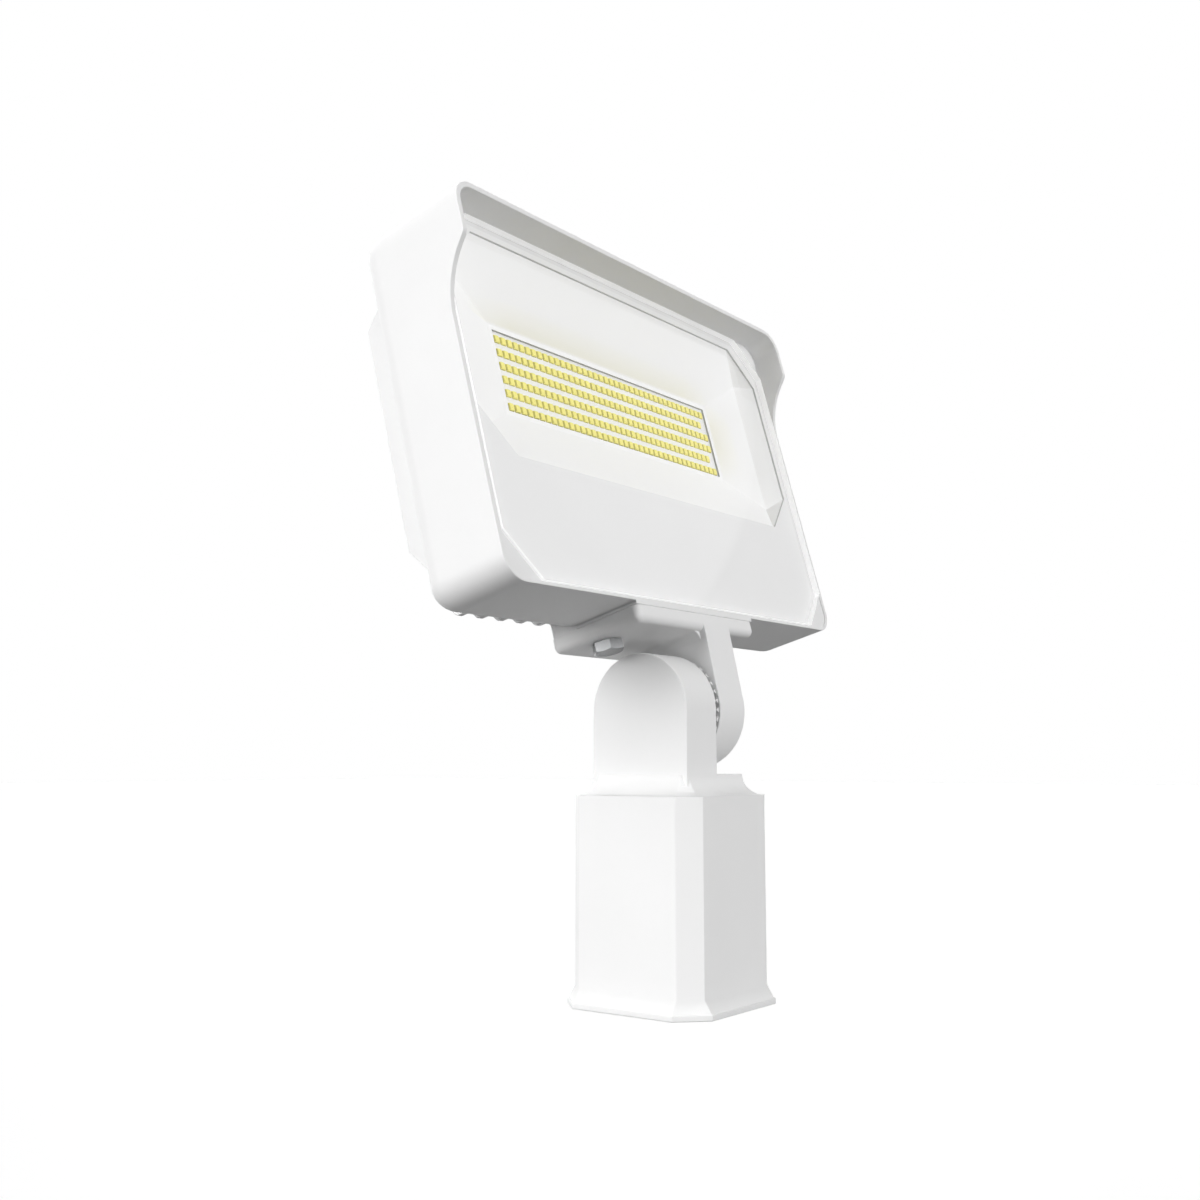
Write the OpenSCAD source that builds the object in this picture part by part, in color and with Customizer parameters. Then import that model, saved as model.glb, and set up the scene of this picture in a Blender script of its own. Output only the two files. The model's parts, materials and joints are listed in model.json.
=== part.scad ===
// LED flood light head on a toothed knuckle and a square slipfitter for a pole top.
// The origin is the centre of the slipfitter's lower rim, on the axis of its bore.
// The lit face looks towards -Y, the hinge runs along X, and +Z is up.

/* [Pole top] */
// Outside diameter of the pole tenon that the slipfitter takes
tenon_d = 60.3; // [48:0.1:61]
// Radial play between the tenon and the bore
tenon_play = 0.4; // [0.1:0.05:0.5]
// Wall between the bore and the flats of the square slipfitter body
socket_wall = 5.1; // [4.9:0.1:7.5]
// How far the lower rim stands out from the body's flats
rim_out = 4.35; // [3.35:0.05:9.35]
// Depth of the bore from the lower rim
bore_depth = 84; // [78:1:86]
// Thickness of the platform over the bore, which carries the knuckle
platform_t = 21; // [18:0.5:26]

/* [Knuckle] */
// Lean of the head behind the vertical in the rest pose
tilt = 15.5; // [-90:0.5:90]
// Radius of the slipfitter's ear
ear_r = 26.2; // [24:0.1:26.2]
// Thickness of the slipfitter's ear
ear_t = 25; // [18:0.5:25]
// Clear distance between the two ears
ear_gap = 3; // [2.8:0.1:4]
// Thickness of the head's ear
head_ear_t = 22; // [16:0.5:22]
// Diameter of the pivot bolt
pivot_d = 12; // [10:1:12]
// Teeth around each ear's locking ring
tooth_count = 36; // [24:1:36]

/* [Head] */
// Width of the head
head_w = 271.6; // [260:0.2:300]
// Height of the head's lower face over the hinge axis
head_low = 41.4; // [41.4:0.2:50]
// Height of the head
head_h = 177.8; // [177:0.2:190]
// Distance of the front rim from the hinge axis
front_reach = 28.2; // [28:0.1:30]
// Distance of the shell's back from the hinge axis
back_reach = 18.6; // [18.4:0.1:22]
// How far the hood stands out past the front rim
hood_reach = 14.8; // [12:0.2:20]
// Thickness of the shell's walls
wall = 2.7; // [2.5:0.1:3]
// Radius of the shell's corners and back edges
shell_r = 12; // [11:0.5:13]

/* [Light window] */
// Thickness of the cover glass
glass_t = 3.2; // [3:0.1:4]
// Chamfer of the cover glass at its four corners
glass_chamfer = 20; // [18:0.5:22]
// Height of the white band under the clear window
band_low = 57.7; // [54:0.1:58]
// Least distance from the window's sides to the lamps, which fills the rows
lamp_side = 40; // [39.5:0.5:84]
// Least distance from the window's ends to the lamps, which sets the number of rows
lamp_end = 34; // [33:0.5:49]
// Distance between lamps along a row
led_pitch_x = 4.36; // [4:0.02:4.4]
// Distance between rows of lamps
led_pitch_z = 6.88; // [5:0.02:7]

/* [Hidden] */
$fn = 64;

// Overrun of every cut and every sunk root, thickness of a slice that a hull joins
cut = 1;
slice = 0.01;

// Clearances: threads, free holes, hinge bore, glass in its pocket, stacked sheets, blind holes
thread_gap = 0.1;
hole_gap = 0.25;
hinge_play = 0.07;
glass_gap = 0.2;
sheet_gap = 0.1;
tip_gap = 0.6;

// Slipfitter
bore_r = tenon_d / 2 + tenon_play;
body_w = 2 * (bore_r + socket_wall);
rim_w = body_w + 2 * rim_out;
platform_h = bore_depth + platform_t;
body_chamfer = 9;
rim_chamfer = 13;
rim_h = 2.8;
rim_step = 0.8;
flare_h = 5.6;
cove_r = 9.6;
boss_r = 9;
boss_out = 3;
screw_levels = [28, 64];

// Wire hole in the platform and the grommet in it
wire_hole_r = 6;
wire_hole_in = [13.05, 9.05];
platform_side = body_w / 2 - cove_r;
wire_hole_at = [platform_side - wire_hole_in[0], platform_side - wire_hole_in[1]];
grommet_lip = 1.5;

// Tenon screws
tenon_screw_d = 10;
tenon_screw_flats = 16;
tenon_screw_head = 6.4;
tenon_screw_out = 4.15;
tenon_screw_len = socket_wall + boss_out + tenon_screw_out - hole_gap;

// Ears and their toothed rings
ear_step = 0.4;
ear_floor_gap = 2.8;
head_ear_r = ear_r + ear_step;
pivot_h = platform_h + ear_floor_gap + head_ear_r;
tooth_h = 1.3;
tooth_w = 2.6;
tooth_tip = 0.6;
tooth_len = 10.6;
tooth_rim = 0.6;

// Pivot bolt and its washers
pivot_reach = 14;
pivot_flats = 18;
pivot_head = 7.5;
washer_d = 24;
washer_t = 2.5;
lock_washer_d = 20.5;
lock_washer_t = 3;
lock_washer_split = 2;

// Bracket between the knuckle and the shell
block_w = 99;
block_h = 7.7;
block_back = 23;
block_round = 3.5;
pad_t = 1.7;
block_top = head_low - pad_t;
block_low = block_top - block_h;
block_root = block_low + block_round;
upstand_t = 5;
upstand_h = 7.6;
upstand_top = head_low + upstand_h;
left_fillet_r = 5;
right_fillet_r = 3;

// Bolts of the bracket
bolt_in = 11.5;
bolt_spread = block_w / 2 - bolt_in;
bracket_bolt_d = 8;
bracket_bolt_flats = 13;
bracket_bolt_head = 5.3;
bracket_bolt_len = 22;
bracket_bolt_turn = 15;
bolt_hole_top = block_low + bracket_bolt_len + tip_gap;
bolt_boss_d = 17;

// Shell: depths count back from the hinge axis, heights count up from it
head_top = head_low + head_h;
shell_front = -front_reach;
hood_front = shell_front - hood_reach;
floor_drop = 0.6;
floor_y = shell_front + floor_drop;
sill_t = 1.7;
hood_drop = 59.8;
hood_start = head_h - hood_drop;
hood_curve_r = 42;
hood_curve_turn = 42;
hood_lip_r = 4;
ledge_t = 3;
ledge_inset = 5;

// Cover glass and what lies behind it
glass_proud = 0.4;
glass_front = shell_front - glass_proud;
glass_back = glass_front + glass_t;
glass_w = head_w - 2 * wall - 2 * glass_gap;
glass_low = head_low + sill_t + glass_gap;
glass_high = head_top - wall - glass_gap;
gasket_t = 2.5;
gasket_w = 2.4;
ledge_front = glass_back + gasket_t;
mask_gap = 0.3;
mask_inset = gasket_w + mask_gap;
mask_t = 1;
rib_w = 2.1;

// Clear window
border_side = 4.9;
border_top = 5.6;
window_w = glass_w - 2 * border_side;
window_low = glass_low + band_low;
window_high = glass_high - border_top;
window_chamfer = 20;

// Lamps: the listed rows are one lamp shorter
led_size = [3.7, 0.9, 3.8];
led_cols = floor((window_w - 2 * lamp_side - led_size[0]) / led_pitch_x) + 1;
led_rows = floor((window_high - window_low - 2 * lamp_end - led_size[2]) / led_pitch_z) + 1;
led_drop = 2.45;
led_centre = (window_low + window_high) / 2 - led_drop;
led_array_w = (led_cols - 1) * led_pitch_x + led_size[0];
led_array_h = (led_rows - 1) * led_pitch_z + led_size[2];
short_rows = [1, 4];

// Reflector: a floor with a slot for the lamps, a fold half way and the mouth behind the window
sheet_t = 1;
slot_side = 1.33;
slot_under = 0.9;
slot_over = 2.1;
slot_w = led_array_w + 2 * slot_side;
slot_low = led_centre - led_array_h / 2 - slot_under;
slot_high = led_centre + led_array_h / 2 + slot_over;
tray_lip = 2.3;
tray_w = slot_w + 2 * tray_lip;
tray_low = slot_low - tray_lip;
tray_high = slot_high + tray_lip;
fold_side = 9;
fold_under = 15.3;
fold_over = 17.5;
mouth_y = glass_back + mask_t;
fold_depth = 7.1;
tray_depth = 13.6;
fold_y = mouth_y + fold_depth;
tray_y = mouth_y + tray_depth;
flange_drop = 2.5;
flange_low = window_low - flange_drop;

// Lamp board and the sheet behind it
board_side = 2.5;
board_under = 11;
board_over = 21.2;
board_w = tray_w + 2 * board_side;
board_low = window_low + board_under;
board_high = window_high - board_over;
board_t = 1.6;
board_front = tray_y + sheet_t + sheet_gap;
board_back = board_front + board_t;
thermal_t = 0.5;
board_screw_d = 3;
board_screw_cap = 5.6;
board_screw_head = 1.6;
board_screw_len = 4.8;
board_screw_in = 7;
board_screw_up = 3;
board_screw_shares = [-1, -0.35, 0.35, 1];
board_screw_z = [board_low + board_screw_up, board_high - board_screw_up];

// Heat sink: flanged plate with a raised hollow seat for the lamp board
sink_gasket_t = 1;
plate_front = back_reach + sink_gasket_t;
plate_t = 3;
plate_back = plate_front + plate_t;
plate_side = 16.3;
plate_under = 13.6;
plate_over = 13.2;
plate_w = head_w - 2 * plate_side;
plate_low = head_low + plate_under;
plate_high = head_top - plate_over;
plate_r = 6;
seat_edge = 5;
seat_rim = 2;
seat_wall = 4;
seat_w = board_w + 2 * seat_edge;
seat_low = board_low - seat_rim;
seat_high = board_high + seat_rim;
seat_front = board_back + thermal_t;

// Opening in the shell's back that the heat sink covers
flange_side = 7.5;
flange_end = 11;
back_open_w = plate_w - 2 * flange_side;
back_open_low = plate_low + flange_end;
back_open_high = plate_high - flange_end;
gasket_edge = 0.5;

// Fins: the outermost pair starts higher and has one long bevel
fin_pitch = 13.4;
fin_t = 3.2;
fin_edge = 2;
fin_reach = 16.4;
fin_back = plate_back + fin_reach;
fin_gap = 0.3;
fin_low = upstand_top + fin_gap;
fin_foot = 8;
fin_foot_bevel = 11.3;
fin_nose_r = 3;
fin_side_rise = 9.7;
fin_side_bevel = 22;
fin_top_drop = 1.3;
fin_top = plate_high - fin_top_drop;
fin_top_bevel = 14.7;
fin_pairs = floor((plate_w / 2 - fin_t / 2 - fin_edge) / fin_pitch + 0.5);
seat_pairs = floor((seat_w / 2 - seat_wall - fin_t / 2) / fin_pitch + 0.5);

// Screws through the heat sink's flange, between the fins
sink_screw_d = 4;
sink_screw_cap = 7;
sink_screw_head = 2.6;
sink_screw_len = 12;
sink_screw_in = 5.5;
sink_screw_side = 6;
inner_screw_share = 0.4;
last_screw_step = floor((plate_w / 2 - sink_screw_side) / fin_pitch);
inner_screw_step = floor(last_screw_step * inner_screw_share);
sink_screw_steps = [-last_screw_step, -inner_screw_step, inner_screw_step, last_screw_step];
sink_screw_z = [plate_low + sink_screw_in, plate_high - sink_screw_in];
sink_boss_r = 4.5;
sink_boss_len = 8;

// Power inlet: the gland in the pad, the terminal block above it and the earth screw beside that
gland_side = 5;
gland_pad_r = 13;
gland_pad_h = 4.4;
gland_step = floor((plate_w / 2 - gland_pad_r - gland_side) / fin_pitch);
gland_x = gland_step * fin_pitch;
gland_thread_r = 8;
terminal_size = [20, 11, 14];
terminal_under = 2;
terminal_gap = 6;
terminal_low = seat_low - terminal_under - terminal_size[2];
terminal_left = gland_x - terminal_size[0] / 2;
gland_z = terminal_low - terminal_gap - gland_thread_r;
gland_pad_back = plate_back + gland_pad_h;
gland_inset = 1;
gland_flats = 20;
gland_hex_t = 5;
gland_neck = 9;
gland_bore_r = 5.5;
seal_bore_r = 4;
nut_gap = 1;
nut_t = 7;
nut_dome = 4;
nut_mouth = 2;
earth_out = 8;
earth_x = terminal_left - earth_out;

// Driver case: fills the room between the shell's opening, the lamp board's seat and the inlet
case_t = 1.5;
case_depth = 25.6;
case_end_gap = 4;
case_seat_gap = 4;
case_low_gap = 2;
case_inlet_gap = 25.8;
tab_len = 8;
tab_h = 16;
case_left = -back_open_w / 2 + case_end_gap + tab_len;
case_right = earth_x - case_inlet_gap;
case_w = case_right - case_left;
case_high = seat_low - case_seat_gap;
case_low = back_open_low + case_low_gap;
case_h = case_high - case_low;
case_front = plate_front - case_depth;
case_middle = (case_low + case_high) / 2;
tab_screw_x = [case_left - tab_len / 2, case_right + tab_len / 2];
cover_t = 1.2;
driver_screw_d = 4;
driver_screw_cap = 7;
driver_screw_head = 2.4;
driver_screw_len = 3.4;

// Card of the driver and what stands on it
card_t = 1.6;
card_lift = 3.5;
card_inset = 2.5;
card_back = plate_front - case_t - card_lift;
card_front = card_back - card_t;
post_r = 2.5;
post_in = [8, 7];
transformer_size = [28, 16, 24];
transformer_share = 0.56;
can_r = 5.5;
can_h = 17;
can_in = [13.5, 28.5];
choke_r = 9;
choke_eye_r = 4;
choke_h = 8;
choke_share = 0.8;

// Leads: from the driver to the lamp board, from the terminal block to the driver and to earth
lead_r = 0.9;
lead_step = 4;
lead_out = 6;
lead_in = 6;
lead_lift = 1.5;
lead_card_x = case_right - case_t - lead_in;
lamp_forward = 9;
lamp_under = 12;
lamp_x = case_right + tab_len + lead_out;
lamp_y = card_front - lamp_forward;
lamp_z = case_high - lamp_under;
lamp_front_y = board_front - lead_lift;
connector_size = [10, 3, 5];
connector_up = 2.5;
connector_low = board_low + connector_up;
mains_forward = 2.7;
mains_under = 4;
mains_y = card_front - mains_forward;
mains_z = case_high - mains_under;
earth_forward = 6;
earth_y = plate_front - earth_forward;
earth_z = terminal_low + 2 * lead_r;
lug_r = 3.4;
lug_t = 0.8;
lug_len = 5;
lug_z = earth_z - lug_len;
earth_screw_d = 3;
earth_screw_cap = 5.5;
earth_screw_head = 2;
earth_screw_len = 2.6;

// Places its children in the head's frame: origin on the hinge axis, tilted with the head
module in_head() {
    translate([0, 0, pivot_h])
        rotate([-tilt, 0, 0])
            children();
}

// Extrudes an outline drawn in X and Z from depth y0 back to depth y1
module along_y(y0, y1) {
    translate([0, y1, 0])
        rotate([90, 0, 0])
            linear_extrude(y1 - y0)
                children();
}

// Extrudes an outline drawn in Y and Z from x0 to x1
module along_x(x0, x1) {
    translate([x0, 0, 0])
        rotate([90, 0, 90])
            linear_extrude(x1 - x0)
                children();
}

// Cylinder along X from x0 to x1
module bar_x(r, x0, x1) {
    translate([x0, 0, 0])
        rotate([0, 90, 0])
            cylinder(r = r, h = x1 - x0);
}

// Cylinder along Y from y0 to y1
module bar_y(r, y0, y1) {
    translate([0, y0, 0])
        rotate([-90, 0, 0])
            cylinder(r = r, h = y1 - y0);
}

// Hexagonal prism over its flats, standing on z = 0
module hex(flats, h) {
    cylinder(d = flats / cos(30), h = h, $fn = 6);
}

// Rectangle from low to high, w wide about x = 0
module band(w, low, high) {
    translate([-w / 2, low])
        square([w, high - low]);
}

// The same rectangle with rounded corners
module round_rect(w, low, high, r) {
    band(w - 2 * r, low, high);
    band(w, low + r, high - r);
    for (x = [-w / 2 + r, w / 2 - r], z = [low + r, high - r])
        translate([x, z])
            circle(r);
}

// The same rectangle with four 45 degree corners, drawn inset from its outline
module octagon(w, low, high, chamfer, inset = 0) {
    a = w / 2 - inset;
    b = low + inset;
    t = high - inset;
    c = chamfer - inset * (2 - sqrt(2));
    polygon([[-a, b + c], [-a + c, b], [a - c, b], [a, b + c],
        [a, t - c], [a - c, t], [-a + c, t], [-a, t - c]]);
}

// Block on z = 0 with rounded upright corners and rounded bottom edges
module soft_block(w, depth, h, r) {
    x = w / 2 - r;
    y = depth / 2 - r;
    translate([0, 0, r])
        linear_extrude(h - r)
            round_rect(w, -depth / 2, depth / 2, r);
    linear_extrude(r)
        band(2 * x, -y, y);
    for (side = [-y, y])
        translate([0, side, r])
            bar_x(r, -x, x);
    for (side = [-x, x])
        translate([side, 0, r])
            bar_y(r, -y, y);
    for (i = [-x, x], j = [-y, y])
        translate([i, j, r])
            sphere(r);
}

// The same block lying on its back: rounded corners and rounded back edges
module shell_block(w, low, high, front, back, r) {
    translate([0, back, (low + high) / 2])
        rotate([90, 0, 0])
            soft_block(w, high - low, back - front, r);
}

// One ring of radial locking teeth that point along +X from x = 0
module tooth_ring() {
    outer = ear_r - tooth_rim;
    for (i = [0 : tooth_count - 1])
        rotate([i * 360 / tooth_count, 0, 0])
            translate([0, 0, outer - tooth_len])
                linear_extrude(tooth_len)
                    polygon([[-cut, -tooth_w / 2], [-cut, tooth_w / 2], [0, tooth_w / 2],
                        [tooth_h, tooth_tip / 2], [tooth_h, -tooth_tip / 2], [0, -tooth_w / 2]]);
}

// Quarter-round trough along the platform's edge at distance face from the axis
module cove_cut(face) {
    translate([face, 0, platform_h])
        rotate([90, 0, 0])
            cylinder(r = cove_r, h = 2 * body_w, center = true);
}

// Places its children at each tenon screw, with +X pointing out of the body
module at_tenon_screws() {
    for (turn = [0, 90], z = screw_levels)
        rotate(turn)
            translate([0, 0, z])
                children();
}

// Slipfitter casting: square socket, coved shoulder and one round ear
module slipfitter_housing() {
    corner_face = (body_w - body_chamfer) / sqrt(2);
    color("white")
        difference() {
            union() {
                linear_extrude(rim_h)
                    octagon(rim_w, -rim_w / 2, rim_w / 2, rim_chamfer);
                hull() {
                    linear_extrude(rim_h)
                        octagon(rim_w, -rim_w / 2, rim_w / 2, rim_chamfer, rim_step);
                    linear_extrude(rim_h + flare_h)
                        octagon(body_w, -body_w / 2, body_w / 2, body_chamfer);
                }
                difference() {
                    linear_extrude(platform_h)
                        octagon(body_w, -body_w / 2, body_w / 2, body_chamfer);
                    for (turn = [0 : 90 : 270]) {
                        rotate(turn)
                            cove_cut(body_w / 2);
                        rotate(turn + 45)
                            cove_cut(corner_face);
                    }
                }
                translate([0, 0, pivot_h]) {
                    bar_x(ear_r, -ear_t, 0);
                    tooth_ring();
                }
                translate([-ear_t, -ear_r, platform_h - cove_r])
                    cube([ear_t, 2 * ear_r, pivot_h - platform_h + cove_r]);
                at_tenon_screws()
                    bar_x(boss_r, bore_r, body_w / 2 + boss_out);
            }
            translate([0, 0, -cut])
                cylinder(r = bore_r, h = bore_depth + cut);
            translate([wire_hole_at[0], wire_hole_at[1], bore_depth - cut]) {
                cylinder(r = wire_hole_r, h = platform_h - bore_depth + 2 * cut);
                cylinder(r = wire_hole_r + grommet_lip + hole_gap, h = grommet_lip + cut);
            }
            translate([0, 0, pivot_h])
                bar_x(pivot_d / 2 + thread_gap, -pivot_reach - tip_gap, tooth_h + cut);
            at_tenon_screws()
                bar_x(tenon_screw_d / 2 + thread_gap, 0, body_w);
        }
}

// Four hex screws that clamp the tenon, from the right and from the back
module tenon_screws() {
    color("silver")
        at_tenon_screws()
            translate([bore_r + hole_gap, 0, 0])
                rotate([0, 90, 0]) {
                    cylinder(d = tenon_screw_d, h = tenon_screw_len);
                    translate([0, 0, tenon_screw_len])
                        hex(tenon_screw_flats, tenon_screw_head);
                }
}

// Rubber grommet that lines the wire hole in the platform
module wire_grommet() {
    lip_r = wire_hole_r + grommet_lip;
    color("dimgray")
        translate([wire_hole_at[0], wire_hole_at[1], bore_depth])
            difference() {
                union() {
                    cylinder(r = lip_r, h = grommet_lip);
                    cylinder(r = wire_hole_r, h = platform_h - bore_depth);
                    translate([0, 0, platform_h - bore_depth])
                        cylinder(r = lip_r, h = grommet_lip);
                }
                translate([0, 0, -cut])
                    cylinder(r = wire_hole_r - grommet_lip, h = platform_h);
            }
}

// Pivot bolt: from the right through the head's ear into the slipfitter's ear
module pivot_bolt() {
    under_head = ear_gap + head_ear_t + washer_t + lock_washer_t;
    color("silver")
        translate([0, 0, pivot_h]) {
            bar_x(pivot_d / 2, -pivot_reach, under_head);
            translate([under_head, 0, 0])
                rotate([0, 90, 0])
                    hex(pivot_flats, pivot_head);
        }
}

// Flat washer against the head's ear
module pivot_washer() {
    face = ear_gap + head_ear_t;
    color("silver")
        translate([0, 0, pivot_h])
            difference() {
                bar_x(washer_d / 2, face, face + washer_t);
                bar_x(pivot_d / 2 + hole_gap, face - cut, face + washer_t + cut);
            }
}

// Split spring washer under the pivot bolt's head
module pivot_lock_washer() {
    face = ear_gap + head_ear_t + washer_t;
    color("gray")
        translate([0, 0, pivot_h])
            difference() {
                bar_x(lock_washer_d / 2, face, face + lock_washer_t);
                bar_x(pivot_d / 2 + hole_gap, face - cut, face + lock_washer_t + cut);
                translate([face - cut, -lock_washer_split / 2, 0])
                    cube([lock_washer_t + 2 * cut, lock_washer_split, lock_washer_d]);
            }
}

// Inside corner between the bracket's block and its ear's face, on the left (-1) or right (1)
module bracket_fillet(face, side, r) {
    depth = block_back - shell_front - 2 * block_round;
    translate([face, (block_back + shell_front) / 2, block_low])
        difference() {
            translate([side > 0 ? -cut : -r, -depth / 2, -r])
                cube([r + cut, depth, r + cut]);
            translate([side * r, 0, -r])
                rotate([90, 0, 0])
                    cylinder(r = r, h = 2 * depth, center = true);
        }
}

// Bracket: a block under the shell with a lip behind it and one round ear
module knuckle_bracket() {
    ear_end = ear_gap + head_ear_t;
    lip_w = block_w - 2 * block_round;
    color("white")
        in_head()
            difference() {
                union() {
                    translate([0, (shell_front + block_back) / 2, block_low])
                        soft_block(block_w, block_back - shell_front, block_h, block_round);
                    translate([-lip_w / 2, block_back - upstand_t, block_root])
                        cube([lip_w, upstand_t, upstand_top - block_root]);
                    bar_x(head_ear_r, ear_gap, ear_end);
                    along_x(ear_gap, ear_end)
                        polygon([[-head_ear_r, 0], [shell_front, block_root],
                            [block_back, block_root], [head_ear_r, 0]]);
                    bracket_fillet(ear_gap, -1, left_fillet_r);
                    bracket_fillet(ear_end, 1, right_fillet_r);
                    translate([ear_gap, 0, 0])
                        mirror([1, 0, 0])
                            rotate([180 / tooth_count, 0, 0])
                                tooth_ring();
                }
                bar_x(pivot_d / 2 + hinge_play, ear_gap - tooth_h - cut, ear_end + cut);
                for (x = [-bolt_spread, bolt_spread])
                    translate([x, 0, block_low - cut])
                        cylinder(d = bracket_bolt_d + 2 * hole_gap, h = block_h + 2 * cut);
            }
}

// Two hex bolts that hold the bracket to the shell from below
module bracket_bolts() {
    color("silver")
        in_head()
            for (x = [-bolt_spread, bolt_spread])
                translate([x, 0, block_low]) {
                    cylinder(d = bracket_bolt_d, h = bracket_bolt_len);
                    translate([0, 0, -bracket_bolt_head])
                        rotate(bracket_bolt_turn)
                            hex(bracket_bolt_flats, bracket_bolt_head);
                }
}

// Point on the hood's swept curve after a turn of a degrees
function hood_point(a) =
    [shell_front - hood_curve_r * (1 - cos(a)), head_low + hood_start + hood_curve_r * sin(a)];

// Centre of the hood's rounded lip, where the swept curve runs on straight into the lip
function lip_centre() =
    let (end = hood_point(hood_curve_turn))
    let (centre_y = hood_front + hood_lip_r)
    let (run = (end[0] - centre_y + hood_lip_r * cos(hood_curve_turn)) / sin(hood_curve_turn))
        [centre_y, end[1] + run * cos(hood_curve_turn) + hood_lip_r * sin(hood_curve_turn)];

// Front edge of the side walls and hood: straight rim, swept curve, rounded lip
function front_edge() = concat(
    [for (i = [0 : 12])
        hood_point(hood_curve_turn * i / 12)],
    [for (i = [0 : 6])
        let (a = 180 + hood_curve_turn * (1 - i / 6))
            lip_centre() + hood_lip_r * [cos(a), sin(a)]]);

// Outline of the cover glass, drawn inset from its edge
module glass_outline(inset = 0) {
    octagon(glass_w, glass_low, glass_high, glass_chamfer, inset);
}

// Outline of the clear window, drawn inset from its edge
module window_outline(inset = 0) {
    octagon(window_w, window_low, window_high, window_chamfer, inset);
}

// Places its children on the axis of each heat sink screw
module at_sink_screws() {
    for (step = sink_screw_steps, z = sink_screw_z)
        translate([step * fin_pitch, 0, z])
            children();
}

// Everything that the shell's outer block loses
module shell_cuts() {
    ledge_back = ledge_front + ledge_t;
    along_x(-head_w / 2 - cut, head_w / 2 + cut)
        polygon(concat([[hood_front - cut, head_low - cut], [shell_front, head_low - cut]],
            front_edge(), [[hood_front, head_top + cut], [hood_front - cut, head_top + cut]]));
    along_y(hood_front - cut, floor_y)
        round_rect(head_w - 2 * wall, head_low + sill_t, head_top - wall, shell_r - wall);
    along_y(hood_front - cut, ledge_front)
        glass_outline(-glass_gap);
    along_y(hood_front - cut, ledge_back + cut)
        glass_outline(ledge_inset);
    shell_block(head_w - 2 * wall, head_low + wall, head_top - wall, ledge_back,
        back_reach - wall, shell_r - wall);
    along_y(back_reach - wall - cut, back_reach + cut)
        round_rect(back_open_w, back_open_low, back_open_high, plate_r);
}

// Front shell: side walls, hood, glass pocket and a flanged back
module front_shell() {
    sunk = wall / 2;
    color("white")
        in_head()
            difference() {
                union() {
                    difference() {
                        shell_block(head_w, head_low, head_top, hood_front, back_reach, shell_r);
                        shell_cuts();
                    }
                    translate([-block_w / 2, shell_front, block_top])
                        cube([block_w, back_reach - shell_r - shell_front, pad_t + sunk]);
                    for (x = [-bolt_spread, bolt_spread])
                        translate([x, 0, head_low + sunk])
                            cylinder(d = bolt_boss_d, h = bolt_hole_top - head_low);
                    at_sink_screws()
                        bar_y(sink_boss_r, back_reach - wall - sink_boss_len, back_reach - sunk);
                }
                for (x = [-bolt_spread, bolt_spread])
                    translate([x, 0, block_top - cut])
                        cylinder(d = bracket_bolt_d + 2 * thread_gap,
                            h = bolt_hole_top - block_top + cut);
                at_sink_screws()
                    bar_y(sink_screw_d / 2 + thread_gap,
                        plate_back - sink_screw_len - tip_gap, back_reach + cut);
            }
}

// Clear cover glass with four cut corners
module cover_glass() {
    color("lightcyan", 0.5)
        in_head()
            along_y(glass_front, glass_back)
                glass_outline();
}

// Silicone seal between the glass and the shell's ledge
module glass_gasket() {
    color("gainsboro")
        in_head()
            along_y(glass_back, ledge_front)
                difference() {
                    glass_outline();
                    glass_outline(gasket_w);
                }
}

// White mask behind the glass that frames the clear window and rests on the ledge below it
module mask_plate() {
    color("whitesmoke")
        in_head() {
            along_y(glass_back, mouth_y)
                difference() {
                    glass_outline(mask_inset);
                    window_outline();
                }
            along_y(mouth_y, ledge_front)
                intersection() {
                    difference() {
                        glass_outline(mask_inset);
                        glass_outline(mask_inset + rib_w);
                    }
                    band(head_w, glass_low, flange_low - mask_gap);
                }
        }
}

// Tray hollow between the lamp board and the window, grown by a sheet thickness
module tray_hollow(grow) {
    hull() {
        along_y(tray_y, tray_y + grow + slice)
            band(tray_w + 2 * grow, tray_low - grow, tray_high + grow);
        along_y(fold_y, fold_y + grow + slice)
            band(window_w - 2 * fold_side + 2 * grow, window_low + fold_under - grow,
                window_high - fold_over + grow);
        along_y(mouth_y, mouth_y + slice)
            window_outline(-grow);
    }
}

// White reflector tray with a flange on the ledge and a slot for the lamps
module reflector() {
    color("white")
        in_head()
            difference() {
                union() {
                    tray_hollow(sheet_t);
                    along_y(mouth_y, ledge_front)
                        intersection() {
                            glass_outline(mask_inset + mask_gap);
                            band(head_w, flange_low, head_top);
                        }
                }
                tray_hollow(0);
                along_y(mouth_y - cut, mouth_y + slice)
                    window_outline();
                along_y(tray_y - cut, tray_y + sheet_t + cut)
                    band(slot_w, slot_low, slot_high);
            }
}

// Places its children on the axis of each lamp board screw
module at_board_screws() {
    for (share = board_screw_shares, z = board_screw_z)
        translate([share * (board_w / 2 - board_screw_in), 0, z])
            children();
}

// Metal-core lamp board
module led_board() {
    color("white")
        in_head()
            difference() {
                along_y(board_front, board_back)
                    band(board_w, board_low, board_high);
                at_board_screws()
                    bar_y(board_screw_d / 2 + hole_gap, board_front - cut, board_back + cut);
            }
}

// Rows of lamps on the board
module led_chips() {
    color("khaki")
        in_head()
            for (row = [0 : led_rows - 1]) {
                lamps = led_cols - len(search(row, short_rows));
                for (col = [0 : lamps - 1])
                    translate([-led_array_w / 2 + col * led_pitch_x, board_front - led_size[1],
                        led_centre + led_array_h / 2 - led_size[2] - row * led_pitch_z])
                        cube(led_size);
            }
}

// Pan head screws of the lamp board
module board_screws() {
    color("silver")
        in_head()
            at_board_screws() {
                bar_y(board_screw_d / 2, board_front, board_front + board_screw_len);
                bar_y(board_screw_cap / 2, board_front - board_screw_head, board_front);
            }
}

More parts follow.
